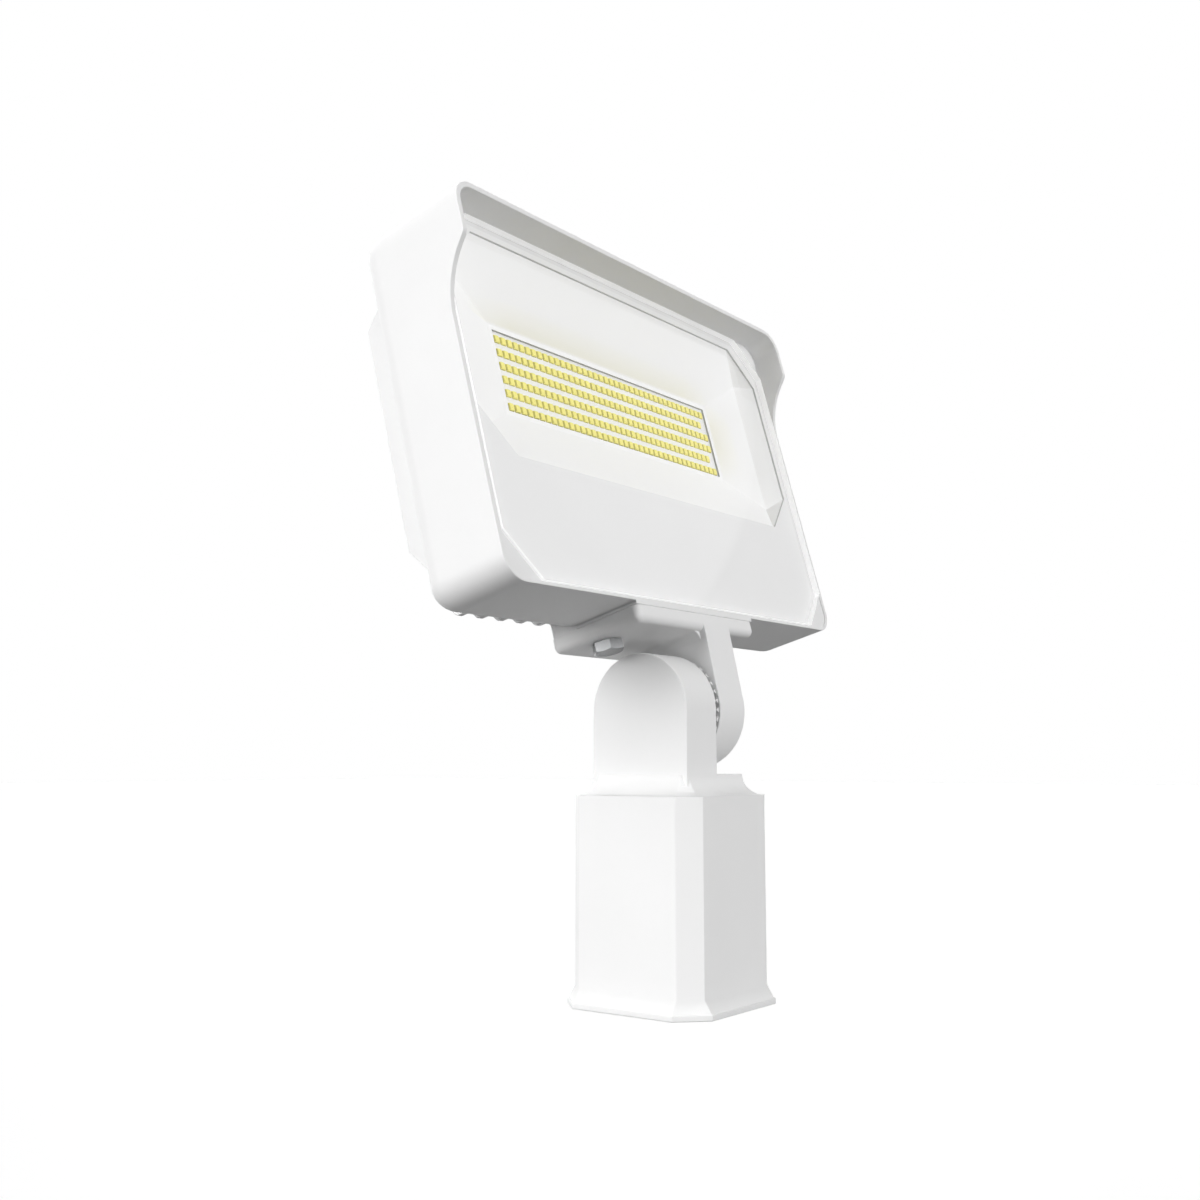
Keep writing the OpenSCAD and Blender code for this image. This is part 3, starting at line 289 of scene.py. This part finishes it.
def make_materials():
    """Every finish of the part by its slot in the record, and a few for details."""
    return {
        "white_casting": powder_coat(),
        "white_reflector": reflector_paint(),
        "clear_glass": clear_glass(),
        # The pane's ground edge carries a painted glow, though it is no lamp
        "ground_edge": add_painted_glow(surface("ground_glass_edge_painted_glow", (0.95, 0.95, 0.95), (0.5, 0.7),
                                       grain=1500), PAINTED_EDGE_GLOW),
        "zinc_steel": surface("zinc_steel", (0.29, 0.295, 0.3), (0.3, 0.42), metal=1.0,
                              grain=1400, depth=0.002, mottle=0.06, patch=160),
        "black_rubber": surface("black_rubber", (0.035, 0.035, 0.036), (0.62, 0.8), grain=2200,
                                depth=0.03, mottle=0.15, level=0.35),
        "clear_silicone": surface("clear_silicone", (0.8, 0.8, 0.8), (0.45, 0.6), grain=900,
                                  depth=0.01),
        # Cut edges of the mask and of the tray's slot: darker grey painted shade for the dark lines along them
        "mask_edge_shade": surface("mask_cut_edge_painted_shade", (0.64, 0.64, 0.64), (0.4, 0.55), grain=1200),
        "slot_edge_shade": surface("slot_cut_edge_painted_shade", (0.4, 0.4, 0.38), (0.4, 0.55), grain=1200),
        "white_mask": surface("white_enamel", (0.85, 0.85, 0.85), (0.3, 0.36), grain=900,
                              depth=0.001, mottle=0.01, patch=30, level=0.4),
        "white_solder_mask": surface("white_solder_mask", (0.9, 0.9, 0.89), (0.3, 0.42),
                                     grain=1600, depth=0.006, mottle=0.02, patch=400),
        "yellow_phosphor": surface("yellow_phosphor", (0.95, 0.87, 0.19), (0.35, 0.5),
                                   grain=6000, depth=0.01, mottle=0.05, patch=1500),
        # Lamp side walls: darker ochre painted shade for the gaps between lamps
        "lamp_side": surface("lamp_wall_painted_shade", (0.66, 0.6, 0.11), (0.45, 0.6), grain=4000),
        "grey_silicone": surface("grey_silicone", (0.42, 0.43, 0.45), (0.6, 0.75), grain=1800,
                                 depth=0.03, mottle=0.06),
        "ivory_nylon": surface("ivory_nylon", (0.83, 0.79, 0.67), (0.42, 0.55), grain=2600,
                               depth=0.012, mottle=0.03),
        "red_insulation": surface("red_insulation", (0.6, 0.05, 0.04), (0.38, 0.5), grain=1500),
        "black_insulation": surface("black_insulation", (0.035, 0.035, 0.04), (0.4, 0.55),
                                    grain=1500, mottle=0.1),
        "sheet_aluminium": surface("sheet_aluminium", (0.74, 0.75, 0.76), (0.25, 0.4), metal=1.0,
                                   grain=500, depth=0.004, stretch=(0.06, 1, 1)),
        "green_card": surface("green_card", (0.03, 0.22, 0.1), (0.3, 0.45), grain=900,
                              depth=0.02, mottle=0.25, patch=350),
        "yellow_tape": surface("yellow_tape", (0.8, 0.58, 0.1), (0.25, 0.4), grain=300,
                               depth=0.05, mottle=0.05, stretch=(0.1, 1, 0.1)),
        "capacitor_sleeve": surface("capacitor_sleeve", (0.03, 0.032, 0.04), (0.16, 0.26),
                                    grain=700, depth=0.01, mottle=0.1),
        "choke_core": surface("choke_core", (0.24, 0.27, 0.1), (0.5, 0.7), grain=2500,
                              depth=0.05, mottle=0.2, patch=900),
        "brown_insulation": surface("brown_insulation", (0.22, 0.1, 0.04), (0.38, 0.5),
                                    grain=1500),
        "blue_insulation": surface("blue_insulation", (0.05, 0.17, 0.48), (0.38, 0.5),
                                   grain=1500),
        "green_insulation": surface("green_insulation", (0.24, 0.5, 0.07), (0.38, 0.5),
                                    grain=1500),
        "black_nylon": surface("black_nylon", (0.032, 0.032, 0.034), (0.42, 0.56), grain=2600,
                               depth=0.015, mottle=0.1),
    }


MATERIALS = make_materials()
SLOT_OF = {s["node"]: s["material_slot"] for s in frame["record"]["subparts"]}


def finish_cad_nodes():
    """Gives every node that stays its own finish."""
    for node, obj in frame["nodes"].items():
        obj.data.materials.clear()
        obj.data.materials.append(MATERIALS[SLOT_OF[node]])


# ---------------------------------------------------------------- mesh helpers

# Corners of a CAD mesh closer than the first are one; for a softened casting, the second
SAME_CORNER, NEAR_CORNER = 0.002 * MM, 0.05 * MM
FLAT_ANGLE, EDGE_ANGLE = math.radians(0.4), math.radians(28)
# An edge's rounding takes this share of its room; a neighbour whose cosine is less turns off
ROOM_SHARE, SAME_LINE = 0.42, 0.85
FORWARD = (HEAD.to_3x3() @ Vector((0, -1, 0))).normalized()


def piece_from(bm, name, body, replaced, slots):
    """Makes a piece of a bmesh: its finishes by slot name, its body and the nodes it replaces."""
    mesh = bpy.data.meshes.new(name)
    bm.to_mesh(mesh)
    bm.free()
    obj = bpy.data.objects.new(name, mesh)
    bpy.context.scene.collection.objects.link(obj)
    for slot in slots:
        mesh.materials.append(MATERIALS[slot])
    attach(obj, body)
    if replaced:
        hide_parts(*replaced)
    return obj


def clean_copy(node, gap=SAME_CORNER):
    """A bmesh of a CAD node: corners closer than the gap become one, triangles become flat faces."""
    source = frame["nodes"][node].data
    bm = bmesh.new()
    verts = [bm.verts.new(v.co) for v in source.vertices]
    for polygon in source.polygons:
        try:
            bm.faces.new([verts[i] for i in polygon.vertices])
        except ValueError:  # the same face a second time
            pass
    bmesh.ops.remove_doubles(bm, verts=bm.verts, dist=gap)
    bmesh.ops.dissolve_limit(bm, angle_limit=FLAT_ANGLE, verts=bm.verts, edges=bm.edges)
    bmesh.ops.recalc_face_normals(bm, faces=bm.faces)
    return bm


def edge_room(edge):
    """The shortest neighbour of an edge that doesn't carry on in its line."""
    line = (edge.verts[1].co - edge.verts[0].co).normalized()
    room = 1.0
    for vert in edge.verts:
        for other in vert.link_edges:
            if other is edge:
                continue
            way = (other.other_vert(vert).co - vert.co)
            if abs(way.normalized().dot(line)) < SAME_LINE:
                room = min(room, way.length)
    return room


def soften(node, name, body, width):
    """Replaces a casting by itself with every outer edge rounded as far as it has room."""
    bm = clean_copy(node, NEAR_CORNER)
    weight = bm.edges.layers.float.new("bevel_weight_edge")
    for edge in bm.edges:
        if len(edge.link_faces) != 2 or edge.calc_face_angle(0) < EDGE_ANGLE:
            continue
        if edge.is_convex:
            edge[weight] = min(1.0, ROOM_SHARE * edge_room(edge) / width)
        else:
            edge.smooth = False
    for face in bm.faces:
        face.smooth = True
    obj = piece_from(bm, name, body, [node], [SLOT_OF[node]])
    bevel = obj.modifiers.new("rounded_edges", "BEVEL")
    bevel.limit_method = "WEIGHT"
    bevel.width = width
    bevel.segments = 2
    bevel.use_clamp_overlap = False
    bevel.miter_outer = "MITER_ARC"
    normals = obj.modifiers.new("flat_faces", "WEIGHTED_NORMAL")
    normals.keep_sharp = True
    normals.weight = 80
    return obj


# ---------------------------------------------------------------- fasteners

# Hex head: inner circle, washer face and chamfer as shares of the flats, dish as shares of the
# chamfer's circle
HEX_STEPS, HEX_INNER, HEX_WASHER, HEX_CHAMFER, HEX_DISH = 72, 0.2, 0.46, 0.475, (0.86, 0.8)
HEX_PLAY, HEX_FOOT, HEX_HOLLOW = 0.05 * MM, 0.4 * MM, 0.25 * MM
HEX_SLOPE = math.tan(math.radians(30))
THREAD_STEPS, THREAD_PER_TURN, THREAD_DEPTH, THREAD_PLAY = 32, 6, 0.55, 0.03 * MM
SHANK_STEPS, SCREW_STEPS, SCREW_PITCH = 48, 48, 0.7 * MM
# Cross recess: half its arm's width and its reach as shares of the head's width, depth of its height
CROSS_ARM, CROSS_REACH, CROSS_DEPTH, DOME_DROP = 0.085, 0.3, 0.6, 0.28
DOME_RINGS = (0.1, 0.17, 0.24, 0.3, 0.36, 0.44, 0.5, 0.56, 0.64, 0.75, 0.86, 0.94, 1.0)


def hex_radius(flats, turn):
    """Distance from a hexagon's axis to its side at a turn in radians."""
    inner = (turn + math.pi / 6) % (math.pi / 3) - math.pi / 6
    return flats / 2 / math.cos(inner)


def ring(bm, place, steps, radius, height):
    """Verts round the axis: radius and height are functions of the turn."""
    found = []
    for i in range(steps):
        turn = 2 * math.pi * i / steps
        r = radius(turn)
        spot = Vector((r * math.cos(turn), r * math.sin(turn), height(turn)))
        found.append(bm.verts.new(place @ spot))
    return found


def loft(bm, rings, smooth=False):
    """Faces between rings, in order."""
    for low, high in zip(rings, rings[1:]):
        for i in range(len(low)):
            j = (i + 1) % len(low)
            face = bm.faces.new((low[i], low[j], high[j], high[i]))
            face.smooth = smooth


def hex_head(bm, place, flats, height):
    """Hex head with a washer face under it, a turned chamfer and a shallow dish on top."""
    edge_r = flats * HEX_CHAMFER

    def side(turn):
        return hex_radius(flats, turn) - HEX_PLAY

    def top(turn):
        return height - max(0, side(turn) - edge_r) * HEX_SLOPE

    def circle(r, level):
        return ring(bm, place, HEX_STEPS, lambda t: r, lambda t: level)

    rings = [
        circle(flats * HEX_INNER, 0),
        circle(flats * HEX_WASHER, 0),
        circle(flats * HEX_WASHER, HEX_FOOT),
        ring(bm, place, HEX_STEPS, side, lambda t: HEX_FOOT),
        ring(bm, place, HEX_STEPS, side, top),
        circle(edge_r, height),
        circle(edge_r * HEX_DISH[0], height),
        circle(edge_r * HEX_DISH[1], height - HEX_HOLLOW),
    ]
    loft(bm, rings)
    bm.faces.new(rings[-1])
    bm.faces.new(list(reversed(rings[0])))


def thread(bm, place, d, pitch, low, high):
    """Threaded shank from low to high, whose crest runs round as a helix."""
    count = max(2, int((high - low) / pitch * THREAD_PER_TURN))
    depth = THREAD_DEPTH * pitch

    def cut_at(z, turn):
        phase = (z / pitch - turn / (2 * math.pi)) % 1.0
        return d / 2 - THREAD_PLAY - depth * (1 - abs(2 * phase - 1))

    rings = []
    for i in range(count + 1):
        z = low + (high - low) * i / count
        rings.append(ring(bm, place, THREAD_STEPS, lambda t, z=z: cut_at(z, t), lambda t, z=z: z))
    loft(bm, rings, smooth=True)
    bm.faces.new(list(reversed(rings[0])))
    bm.faces.new(rings[-1])


def frame_at(origin, axis, turn=0.0):
    """Matrix that puts +Z along the axis at the origin."""
    quat = Vector((0, 0, 1)).rotation_difference(Vector(axis))
    return Matrix.Translation(origin) @ quat.to_matrix().to_4x4() @ Matrix.Rotation(turn, 4, "Z")


def bracket_bolts():
    """Two hex bolts up through the bracket."""
    bm = bmesh.new()
    for x in (-BOLT_X, BOLT_X):
        down = HEAD @ frame_at((x, 0, BLOCK_LOW), (0, 0, -1), BOLT_TURN)
        hex_head(bm, down, BOLT_FLATS, BOLT_HEAD)
        up = HEAD @ frame_at((x, 0, BLOCK_LOW), (0, 0, 1))
        thread(bm, up, BOLT_D, BOLT_PITCH, 0, BOLT_LEN)
    return piece_from(bm, "bracket_bolts_detail", "head", ["bracket_bolts"], ["zinc_steel"])


def tenon_screws():
    """Four hex screws of the slipfitter, threaded under their heads."""
    bm = bmesh.new()
    for axis in ((1, 0, 0), (0, 1, 0)):
        for level in TENON_LEVELS:
            start = Vector(axis) * TENON_START + Vector((0, 0, level))
            thread(bm, frame_at(start, axis), TENON_D, TENON_PITCH, 0, TENON_LEN)
            hex_head(bm, frame_at(start + Vector(axis) * TENON_LEN, axis), TENON_FLATS, TENON_HEAD)
    return piece_from(bm, "tenon_screws_detail", "base", ["tenon_screws"], ["zinc_steel"])


def pivot_bolt():
    """Pivot bolt with a plain shank and a chamfered hex head."""
    bm = bmesh.new()
    place = frame_at(PIVOT, (1, 0, 0))
    r = PIVOT_D / 2
    rings = [ring(bm, place, SHANK_STEPS, lambda t: r - PIVOT_TIP, lambda t: PIVOT_END),
             ring(bm, place, SHANK_STEPS, lambda t: r, lambda t: PIVOT_END + PIVOT_TIP),
             ring(bm, place, SHANK_STEPS, lambda t: r, lambda t: PIVOT_FACE)]
    loft(bm, rings, smooth=True)
    bm.faces.new(list(reversed(rings[0])))
    bm.faces.new(rings[-1])
    face = frame_at(PIVOT + Vector((PIVOT_FACE, 0, 0)), (1, 0, 0))
    hex_head(bm, face, PIVOT_FLATS, PIVOT_HEAD)
    return piece_from(bm, "pivot_bolt_detail", "base", ["pivot_bolt"], ["zinc_steel"])


def pan_head(bm, place, cap, height, shank, length):
    """Pan head with a cross recess, on a threaded shank: the recess is pressed into a fine grid."""
    steps, r = SCREW_STEPS, cap / 2
    arm, reach, sink = cap * CROSS_ARM, cap * CROSS_REACH, height * CROSS_DEPTH

    def dome(q):
        return height * (1 - DOME_DROP * q ** 4)

    rings = []
    for q in DOME_RINGS:
        def level(turn, q=q):
            x, y = q * r * math.cos(turn), q * r * math.sin(turn)
            across, along = min(abs(x), abs(y)), max(abs(x), abs(y))
            inside = across < arm and along < reach
            return dome(q) - (sink * (1 - 0.5 * along / reach) if inside else 0)
        rings.append(ring(bm, place, steps, lambda t, q=q: q * r, level))
    loft(bm, rings)
    middle = bm.verts.new(place @ Vector((0, 0, height - sink)))
    for i in range(steps):
        bm.faces.new((middle, rings[0][(i + 1) % steps], rings[0][i]))
    foot = [ring(bm, place, steps, lambda t: r, lambda t: 0.25 * height),
            ring(bm, place, steps, lambda t: r * 0.97, lambda t: 0)]
    loft(bm, [rings[-1]] + foot)
    bm.faces.new(foot[-1])
    thread(bm, place, shank, SCREW_PITCH, -length, 0)


def pan_screws(name, node, body, places, cap, height, shank, length):
    """One piece of pan head screws that replaces a node."""
    bm = bmesh.new()
    for place in places:
        pan_head(bm, place, cap, height, shank, length)
    bmesh.ops.recalc_face_normals(bm, faces=bm.faces)
    return piece_from(bm, name, body, [node], ["zinc_steel"])


def head_places(xs, zs, y, turn):
    """Screw places on the head that point along -Y (turn 1) or +Y (turn -1)."""
    return [HEAD @ frame_at((x * MM, y, z * MM), (0, -turn, 0), 0.3 * x)
            for x in xs for z in zs]


# ---------------------------------------------------------------- lamps and pane


# Rings of a lamp in mm: taken off its width and height, height over the board, corner's cut
LAMP_RINGS = ((0, 0, 0, 0.1), (0.02, 0.02, 0.4, 0.35), (0.4, 0.1, 0.82, 0.45), (0.5, 0.3, 0.9, 0.6))


def lamp_block(bm, x, z):
    """One lamp: a crowned yellow top whose side walls carry painted shade, a darker ochre."""

    def box_ring(wide, high, y, cut):
        a, b = LED_W / 2 - wide, LED_H / 2 - high
        points = [(-a + cut, -b), (a - cut, -b), (a, -b + cut), (a, b - cut),
                  (a - cut, b), (-a + cut, b), (-a, b - cut), (-a, -b + cut)]
        return [bm.verts.new(HEAD @ Vector((x + px, BOARD_FRONT - y, z + pz))) for px, pz in points]

    rings = [box_ring(w * MM, h * MM, y * MM, c * MM) for w, h, y, c in LAMP_RINGS]
    for k, (low, high) in enumerate(zip(rings, rings[1:])):
        for i in range(8):
            j = (i + 1) % 8
            face = bm.faces.new((low[i], low[j], high[j], high[i]))
            # Index 1, painted shade: the foot and the lower parts of the left and right walls
            face.material_index = 1 if k < 2 and i in (2, 6) or k == 0 else 0
            face.smooth = k > 1
    bm.faces.new(rings[-1])
    bm.faces.new(list(reversed(rings[0])))


def lamps():
    """All lamps as one piece, row by row as on the board."""
    bm = bmesh.new()
    for row in range(LED_ROWS):
        z = LED_CENTRE + ARRAY_H / 2 - LED_H / 2 - row * LED_PITCH_Z
        for col in range(LED_COLS - (row in SHORT_ROWS)):
            lamp_block(bm, -ARRAY_W / 2 + LED_W / 2 + col * LED_PITCH_X, z)
    bmesh.ops.recalc_face_normals(bm, faces=bm.faces)
    return piece_from(bm, "lamp_rows", "head", ["led_chips"], ["yellow_phosphor", "lamp_side"])


def grow_outline(bm, growth):
    """Moves the outer outline of a plate with cut corners outward, to close the play round it."""
    inward = HEAD.inverted()
    spots = [inward @ v.co for v in bm.verts]
    side = max(s.x for s in spots) - OUTLINE_DEPTH
    low = min(s.z for s in spots) + OUTLINE_DEPTH
    high = max(s.z for s in spots) - OUTLINE_DEPTH
    for vert, spot in zip(bm.verts, spots):
        wide, tall = abs(spot.x) > side, not low < spot.z < high
        if wide or tall:
            spot.x += math.copysign(growth * (1 if wide else CUT_SHARE), spot.x)
            spot.z += math.copysign(growth * (1 if tall else CUT_SHARE), spot.z - (low + high) / 2)
            vert.co = HEAD @ spot
    bm.normal_update()


def pane():
    """Cover glass with bevelled, ground edges: a hair thinner than in CAD, to clear the mask."""
    bm = clean_copy("cover_glass")
    inward = HEAD.inverted()
    back = max((inward @ v.co).y for v in bm.verts)
    for vert in bm.verts:
        if (inward @ vert.co).y > back - 0.5 * MM:
            vert.co -= HEAD.to_3x3() @ Vector((0, PANE_GAP, 0))
    grow_outline(bm, PANE_GROWTH)
    rim = [e for e in bm.edges if any(f.normal.dot(FORWARD) > 0.9 for f in e.link_faces)
           and any(abs(f.normal.dot(FORWARD)) < 0.1 for f in e.link_faces)]
    bmesh.ops.bevel(bm, geom=rim, offset=PANE_BEVEL, offset_type="OFFSET", segments=1,
                    affect="EDGES", profile=0.5)
    bm.normal_update()
    for face in bm.faces:
        # Index 1 is the ground edge, whose finish has a painted glow
        face.material_index = 0 if abs(face.normal.dot(FORWARD)) > 0.9 else 1
    return piece_from(bm, "cover_pane", "head", ["cover_glass"], ["clear_glass", "ground_edge"])


def lip_root():
    """Corner of the bracket's block and its lip, which follows the shell's round back edge."""
    bm = bmesh.new()
    steps, r = 10, LIP_ROOT_R

    def section(x):
        """Profile at a place along the block: both ends are rounded off in plan."""
        past = max(0, abs(x) - LIP_STRAIGHT) / LIP_CORNER
        top = LIP_TOP - LIP_DROP * past ** 2
        back = LIP_BACK - LIP_CORNER * (1 - math.sqrt(1 - min(1, past ** 2)))
        full = math.acos(1 - (top - LIP_LOW) / r)
        turns = [full * i / steps for i in range(steps + 1)]
        arc = [(LIP_START + r * math.sin(t), LIP_LOW + r - r * math.cos(t)) for t in turns]
        return arc + [(back, top), (back, LIP_FOOT), (LIP_START, LIP_FOOT)]

    half = [LIP_STRAIGHT + LIP_CORNER * math.sin(math.radians(a)) for a in LIP_ENDS]
    rows = [[bm.verts.new(HEAD @ Vector((x, y, z))) for y, z in section(x)]
            for x in [-x for x in reversed(half)] + half]
    loft(bm, rows, smooth=True)
    bm.faces.new(rows[0])
    bm.faces.new(list(reversed(rows[-1])))
    bmesh.ops.recalc_face_normals(bm, faces=bm.faces)
    for edge in bm.edges:
        edge.smooth = edge.calc_face_angle(0) < LIP_SHARP
    obj = piece_from(bm, "bracket_lip_root", "head", [], ["white_casting"])
    normals = obj.modifiers.new("flat_faces", "WEIGHTED_NORMAL")
    normals.keep_sharp = True
    return obj


def sheet_with_shaded_edges(node, name, near, edge, growth=0.0):
    """A white sheet part whose cut edges round its opening, inside near, are painted darker grey as shade."""
    bm = clean_copy(node)
    grow_outline(bm, growth)
    for face in bm.faces:
        middle = HEAD.inverted() @ face.calc_center_median()
        inner = abs(middle.x) < near[0] and near[1] < middle.z < near[2]
        # Cut edges inside near get the grey painted shade
        face.material_index = 1 if inner and abs(face.normal.dot(FORWARD)) < 0.2 else 0
    return piece_from(bm, name, "head", [node], [SLOT_OF[node], edge])


def pane_seal():
    """Clear seal behind the pane, pressed against the shell's wall."""
    bm = clean_copy("glass_gasket")
    grow_outline(bm, SEAL_GROWTH)
    return piece_from(bm, "pane_seal", "head", ["glass_gasket"], ["clear_silicone"])


# ---------------------------------------------------------------- stage

FLOOR_Z, FLOOR_SIZE = -0.35, 60.0
FLOOR_WHITE, FLOOR_BOUNCE, FLOOR_LIFT = (0.96, 0.96, 0.96), (0.2, 0.2, 0.2), 0.28
SKY = 0.03
# Round softbox in the sky: its direction, the cosine of its angular radius, its edge and light
SOFTBOX_WAY, SOFTBOX_COS = (0.7376, -0.4299, 0.5206), 0.98465
SOFTBOX_EDGE, SOFTBOX_LIGHT = 5e-4, 1.0
# name, compass angle from +X, height in degrees, strength on a face square to it, angular size
SUNS = (("left_key", 160, 6, 0.82, 40),
        ("left_high", 165, 30, 0.46, 40),
        ("front_key", 266, 11, 0.75, 40),
        ("right_high", 320, 40, 0.14, 40),
        ("back_fill", 55, 25, 0.35, 60))
# This one's disc would lie in the pane's reflection, where the softbox already is
PANE_SIDE_SUN = "right_high"
CAMERA_AZIMUTH, CAMERA_PITCH = math.radians(37.052), math.radians(6.880)
CAMERA_PLACE, CAMERA_SENSOR, CAMERA_LENS = (-0.53164, -0.36016, 0.11023), 36, 40.47


def seen_and_glossy(tree):
    """Whether a ray is the camera's own, also through glass, and whether it is a reflected one."""
    path = tree.nodes.new("ShaderNodeLightPath")
    seen = calculate(tree, "MAXIMUM", path.outputs["Is Camera Ray"],
                     path.outputs["Is Transmission Ray"])
    return seen, path.outputs["Is Glossy Ray"]


def paint_floor():
    """Pale floor: white to the eye with the part's shadow on it, and little light thrown up."""
    mat, tree, shader = new_material("pale_floor")
    seen, glossy = seen_and_glossy(tree)
    shown = calculate(tree, "MAXIMUM", seen, glossy)
    tint = blend_colours(tree, shown, FLOOR_BOUNCE, FLOOR_WHITE)
    tree.links.new(tint, shader.inputs["Base Color"])
    shader.inputs["Roughness"].default_value = 1.0
    shader.inputs["Specular IOR Level"].default_value = 0.0
    shader.inputs["Emission Color"].default_value = (1, 1, 1, 1)
    tree.links.new(remap(tree, seen, 0, FLOOR_LIFT, 0, 1), shader.inputs["Emission Strength"])
    return mat


def add_floor():
    """Wide floor under the pole top, which hangs over it as on its pole."""
    bm = bmesh.new()
    h = FLOOR_SIZE / 2
    bm.faces.new([bm.verts.new((x, y, FLOOR_Z)) for x, y in ((-h, -h), (h, -h), (h, h), (-h, h))])
    mesh = bpy.data.meshes.new("studio_floor")
    bm.to_mesh(mesh)
    bm.free()
    mesh.materials.append(paint_floor())
    floor = bpy.data.objects.new("studio_floor", mesh)
    bpy.context.scene.collection.objects.link(floor)


def add_world():
    """Even pale sky; it shows white, with one round softbox for shiny surfaces."""
    world = bpy.data.worlds.new("studio_sky")
    bpy.context.scene.world = world
    world.use_nodes = True
    tree = world.node_tree
    back = tree.nodes["Background"]
    seen, glossy = seen_and_glossy(tree)
    place = tree.nodes.new("ShaderNodeTexCoord").outputs["Generated"]
    towards = distance_along(tree, place, SOFTBOX_WAY)
    box = remap(tree, towards, 0, SOFTBOX_LIGHT, SOFTBOX_COS - SOFTBOX_EDGE,
                SOFTBOX_COS + SOFTBOX_EDGE)

    def pick(flag, low, high):
        node = tree.nodes.new("ShaderNodeMix")
        node.data_type = "FLOAT"
        tree.links.new(flag, node.inputs[0])
        feed(tree, node.inputs[2], low)
        feed(tree, node.inputs[3], high)
        return node.outputs[0]

    level = pick(seen, SKY, 1.0)
    level = pick(glossy, level, calculate(tree, "ADD", box, 1.0))
    tree.links.new(level, back.inputs["Strength"])
    back.inputs["Color"].default_value = (1, 1, 1, 1)


def add_suns():
    """Wide, soft lamps, each aimed at the part."""
    for name, compass, height, strength, size in SUNS:
        turn, rise = math.radians(compass), math.radians(height)
        way = Vector((math.cos(turn) * math.cos(rise), math.sin(turn) * math.cos(rise),
                      math.sin(rise)))
        light = bpy.data.lights.new(name, "SUN")
        light.energy = strength * math.pi
        light.angle = math.radians(size)
        lamp = bpy.data.objects.new(name, light)
        lamp.rotation_euler = way.to_track_quat("Z", "Y").to_euler()
        lamp.visible_glossy = name != PANE_SIDE_SUN
        bpy.context.scene.collection.objects.link(lamp)


def add_camera():
    """The photograph's viewpoint, solved from the part's edges."""
    level = math.cos(CAMERA_PITCH)
    ahead = Vector((level * math.cos(CAMERA_AZIMUTH), level * math.sin(CAMERA_AZIMUTH),
                    math.sin(CAMERA_PITCH)))
    right = Vector((math.sin(CAMERA_AZIMUTH), -math.cos(CAMERA_AZIMUTH), 0))
    up = right.cross(ahead)
    data = bpy.data.cameras.new("camera")
    data.sensor_width, data.lens = CAMERA_SENSOR, CAMERA_LENS
    data.clip_start, data.clip_end = 0.01, 100
    camera = bpy.data.objects.new("camera", data)
    turn = Matrix((right, up, -ahead)).transposed().to_4x4()
    camera.matrix_world = Matrix.Translation(CAMERA_PLACE) @ turn
    bpy.context.scene.collection.objects.link(camera)
    bpy.context.scene.camera = camera


# ---------------------------------------------------------------- the scene

# Node, piece, body, and the most that its edges are rounded
CASTINGS = (("slipfitter_housing", "slipfitter_casting", "base", 0.55 * MM),
            ("knuckle_bracket", "bracket_casting", "head", 0.5 * MM),
            ("front_shell", "shell_casting", "head", 0.4 * MM),
            ("heat_sink", "sink_casting", "head", 0.4 * MM))

add_camera()
finish_cad_nodes()
for casting in CASTINGS:
    soften(*casting)
bracket_bolts()
tenon_screws()
pivot_bolt()
pan_screws("housing_screws_detail", "housing_screws", "head",
           head_places(SINK_SCREW_X, SINK_SCREW_Z, PLATE_BACK, -1), *SINK_SCREW)
pan_screws("board_screws_detail", "board_screws", "head",
           head_places(BOARD_SCREW_X, BOARD_SCREW_Z, BOARD_FRONT, 1), *BOARD_SCREW)
lamps()
pane()
pane_seal()
lip_root()
sheet_with_shaded_edges("mask_plate", "mask_sheet", MASK_OPENING, "mask_edge_shade", MASK_GROWTH)
sheet_with_shaded_edges("reflector", "reflector_tray", TRAY_SLOT, "slot_edge_shade")
add_floor()
add_world()
add_suns()
bpy.context.scene.view_settings.view_transform = "Standard"
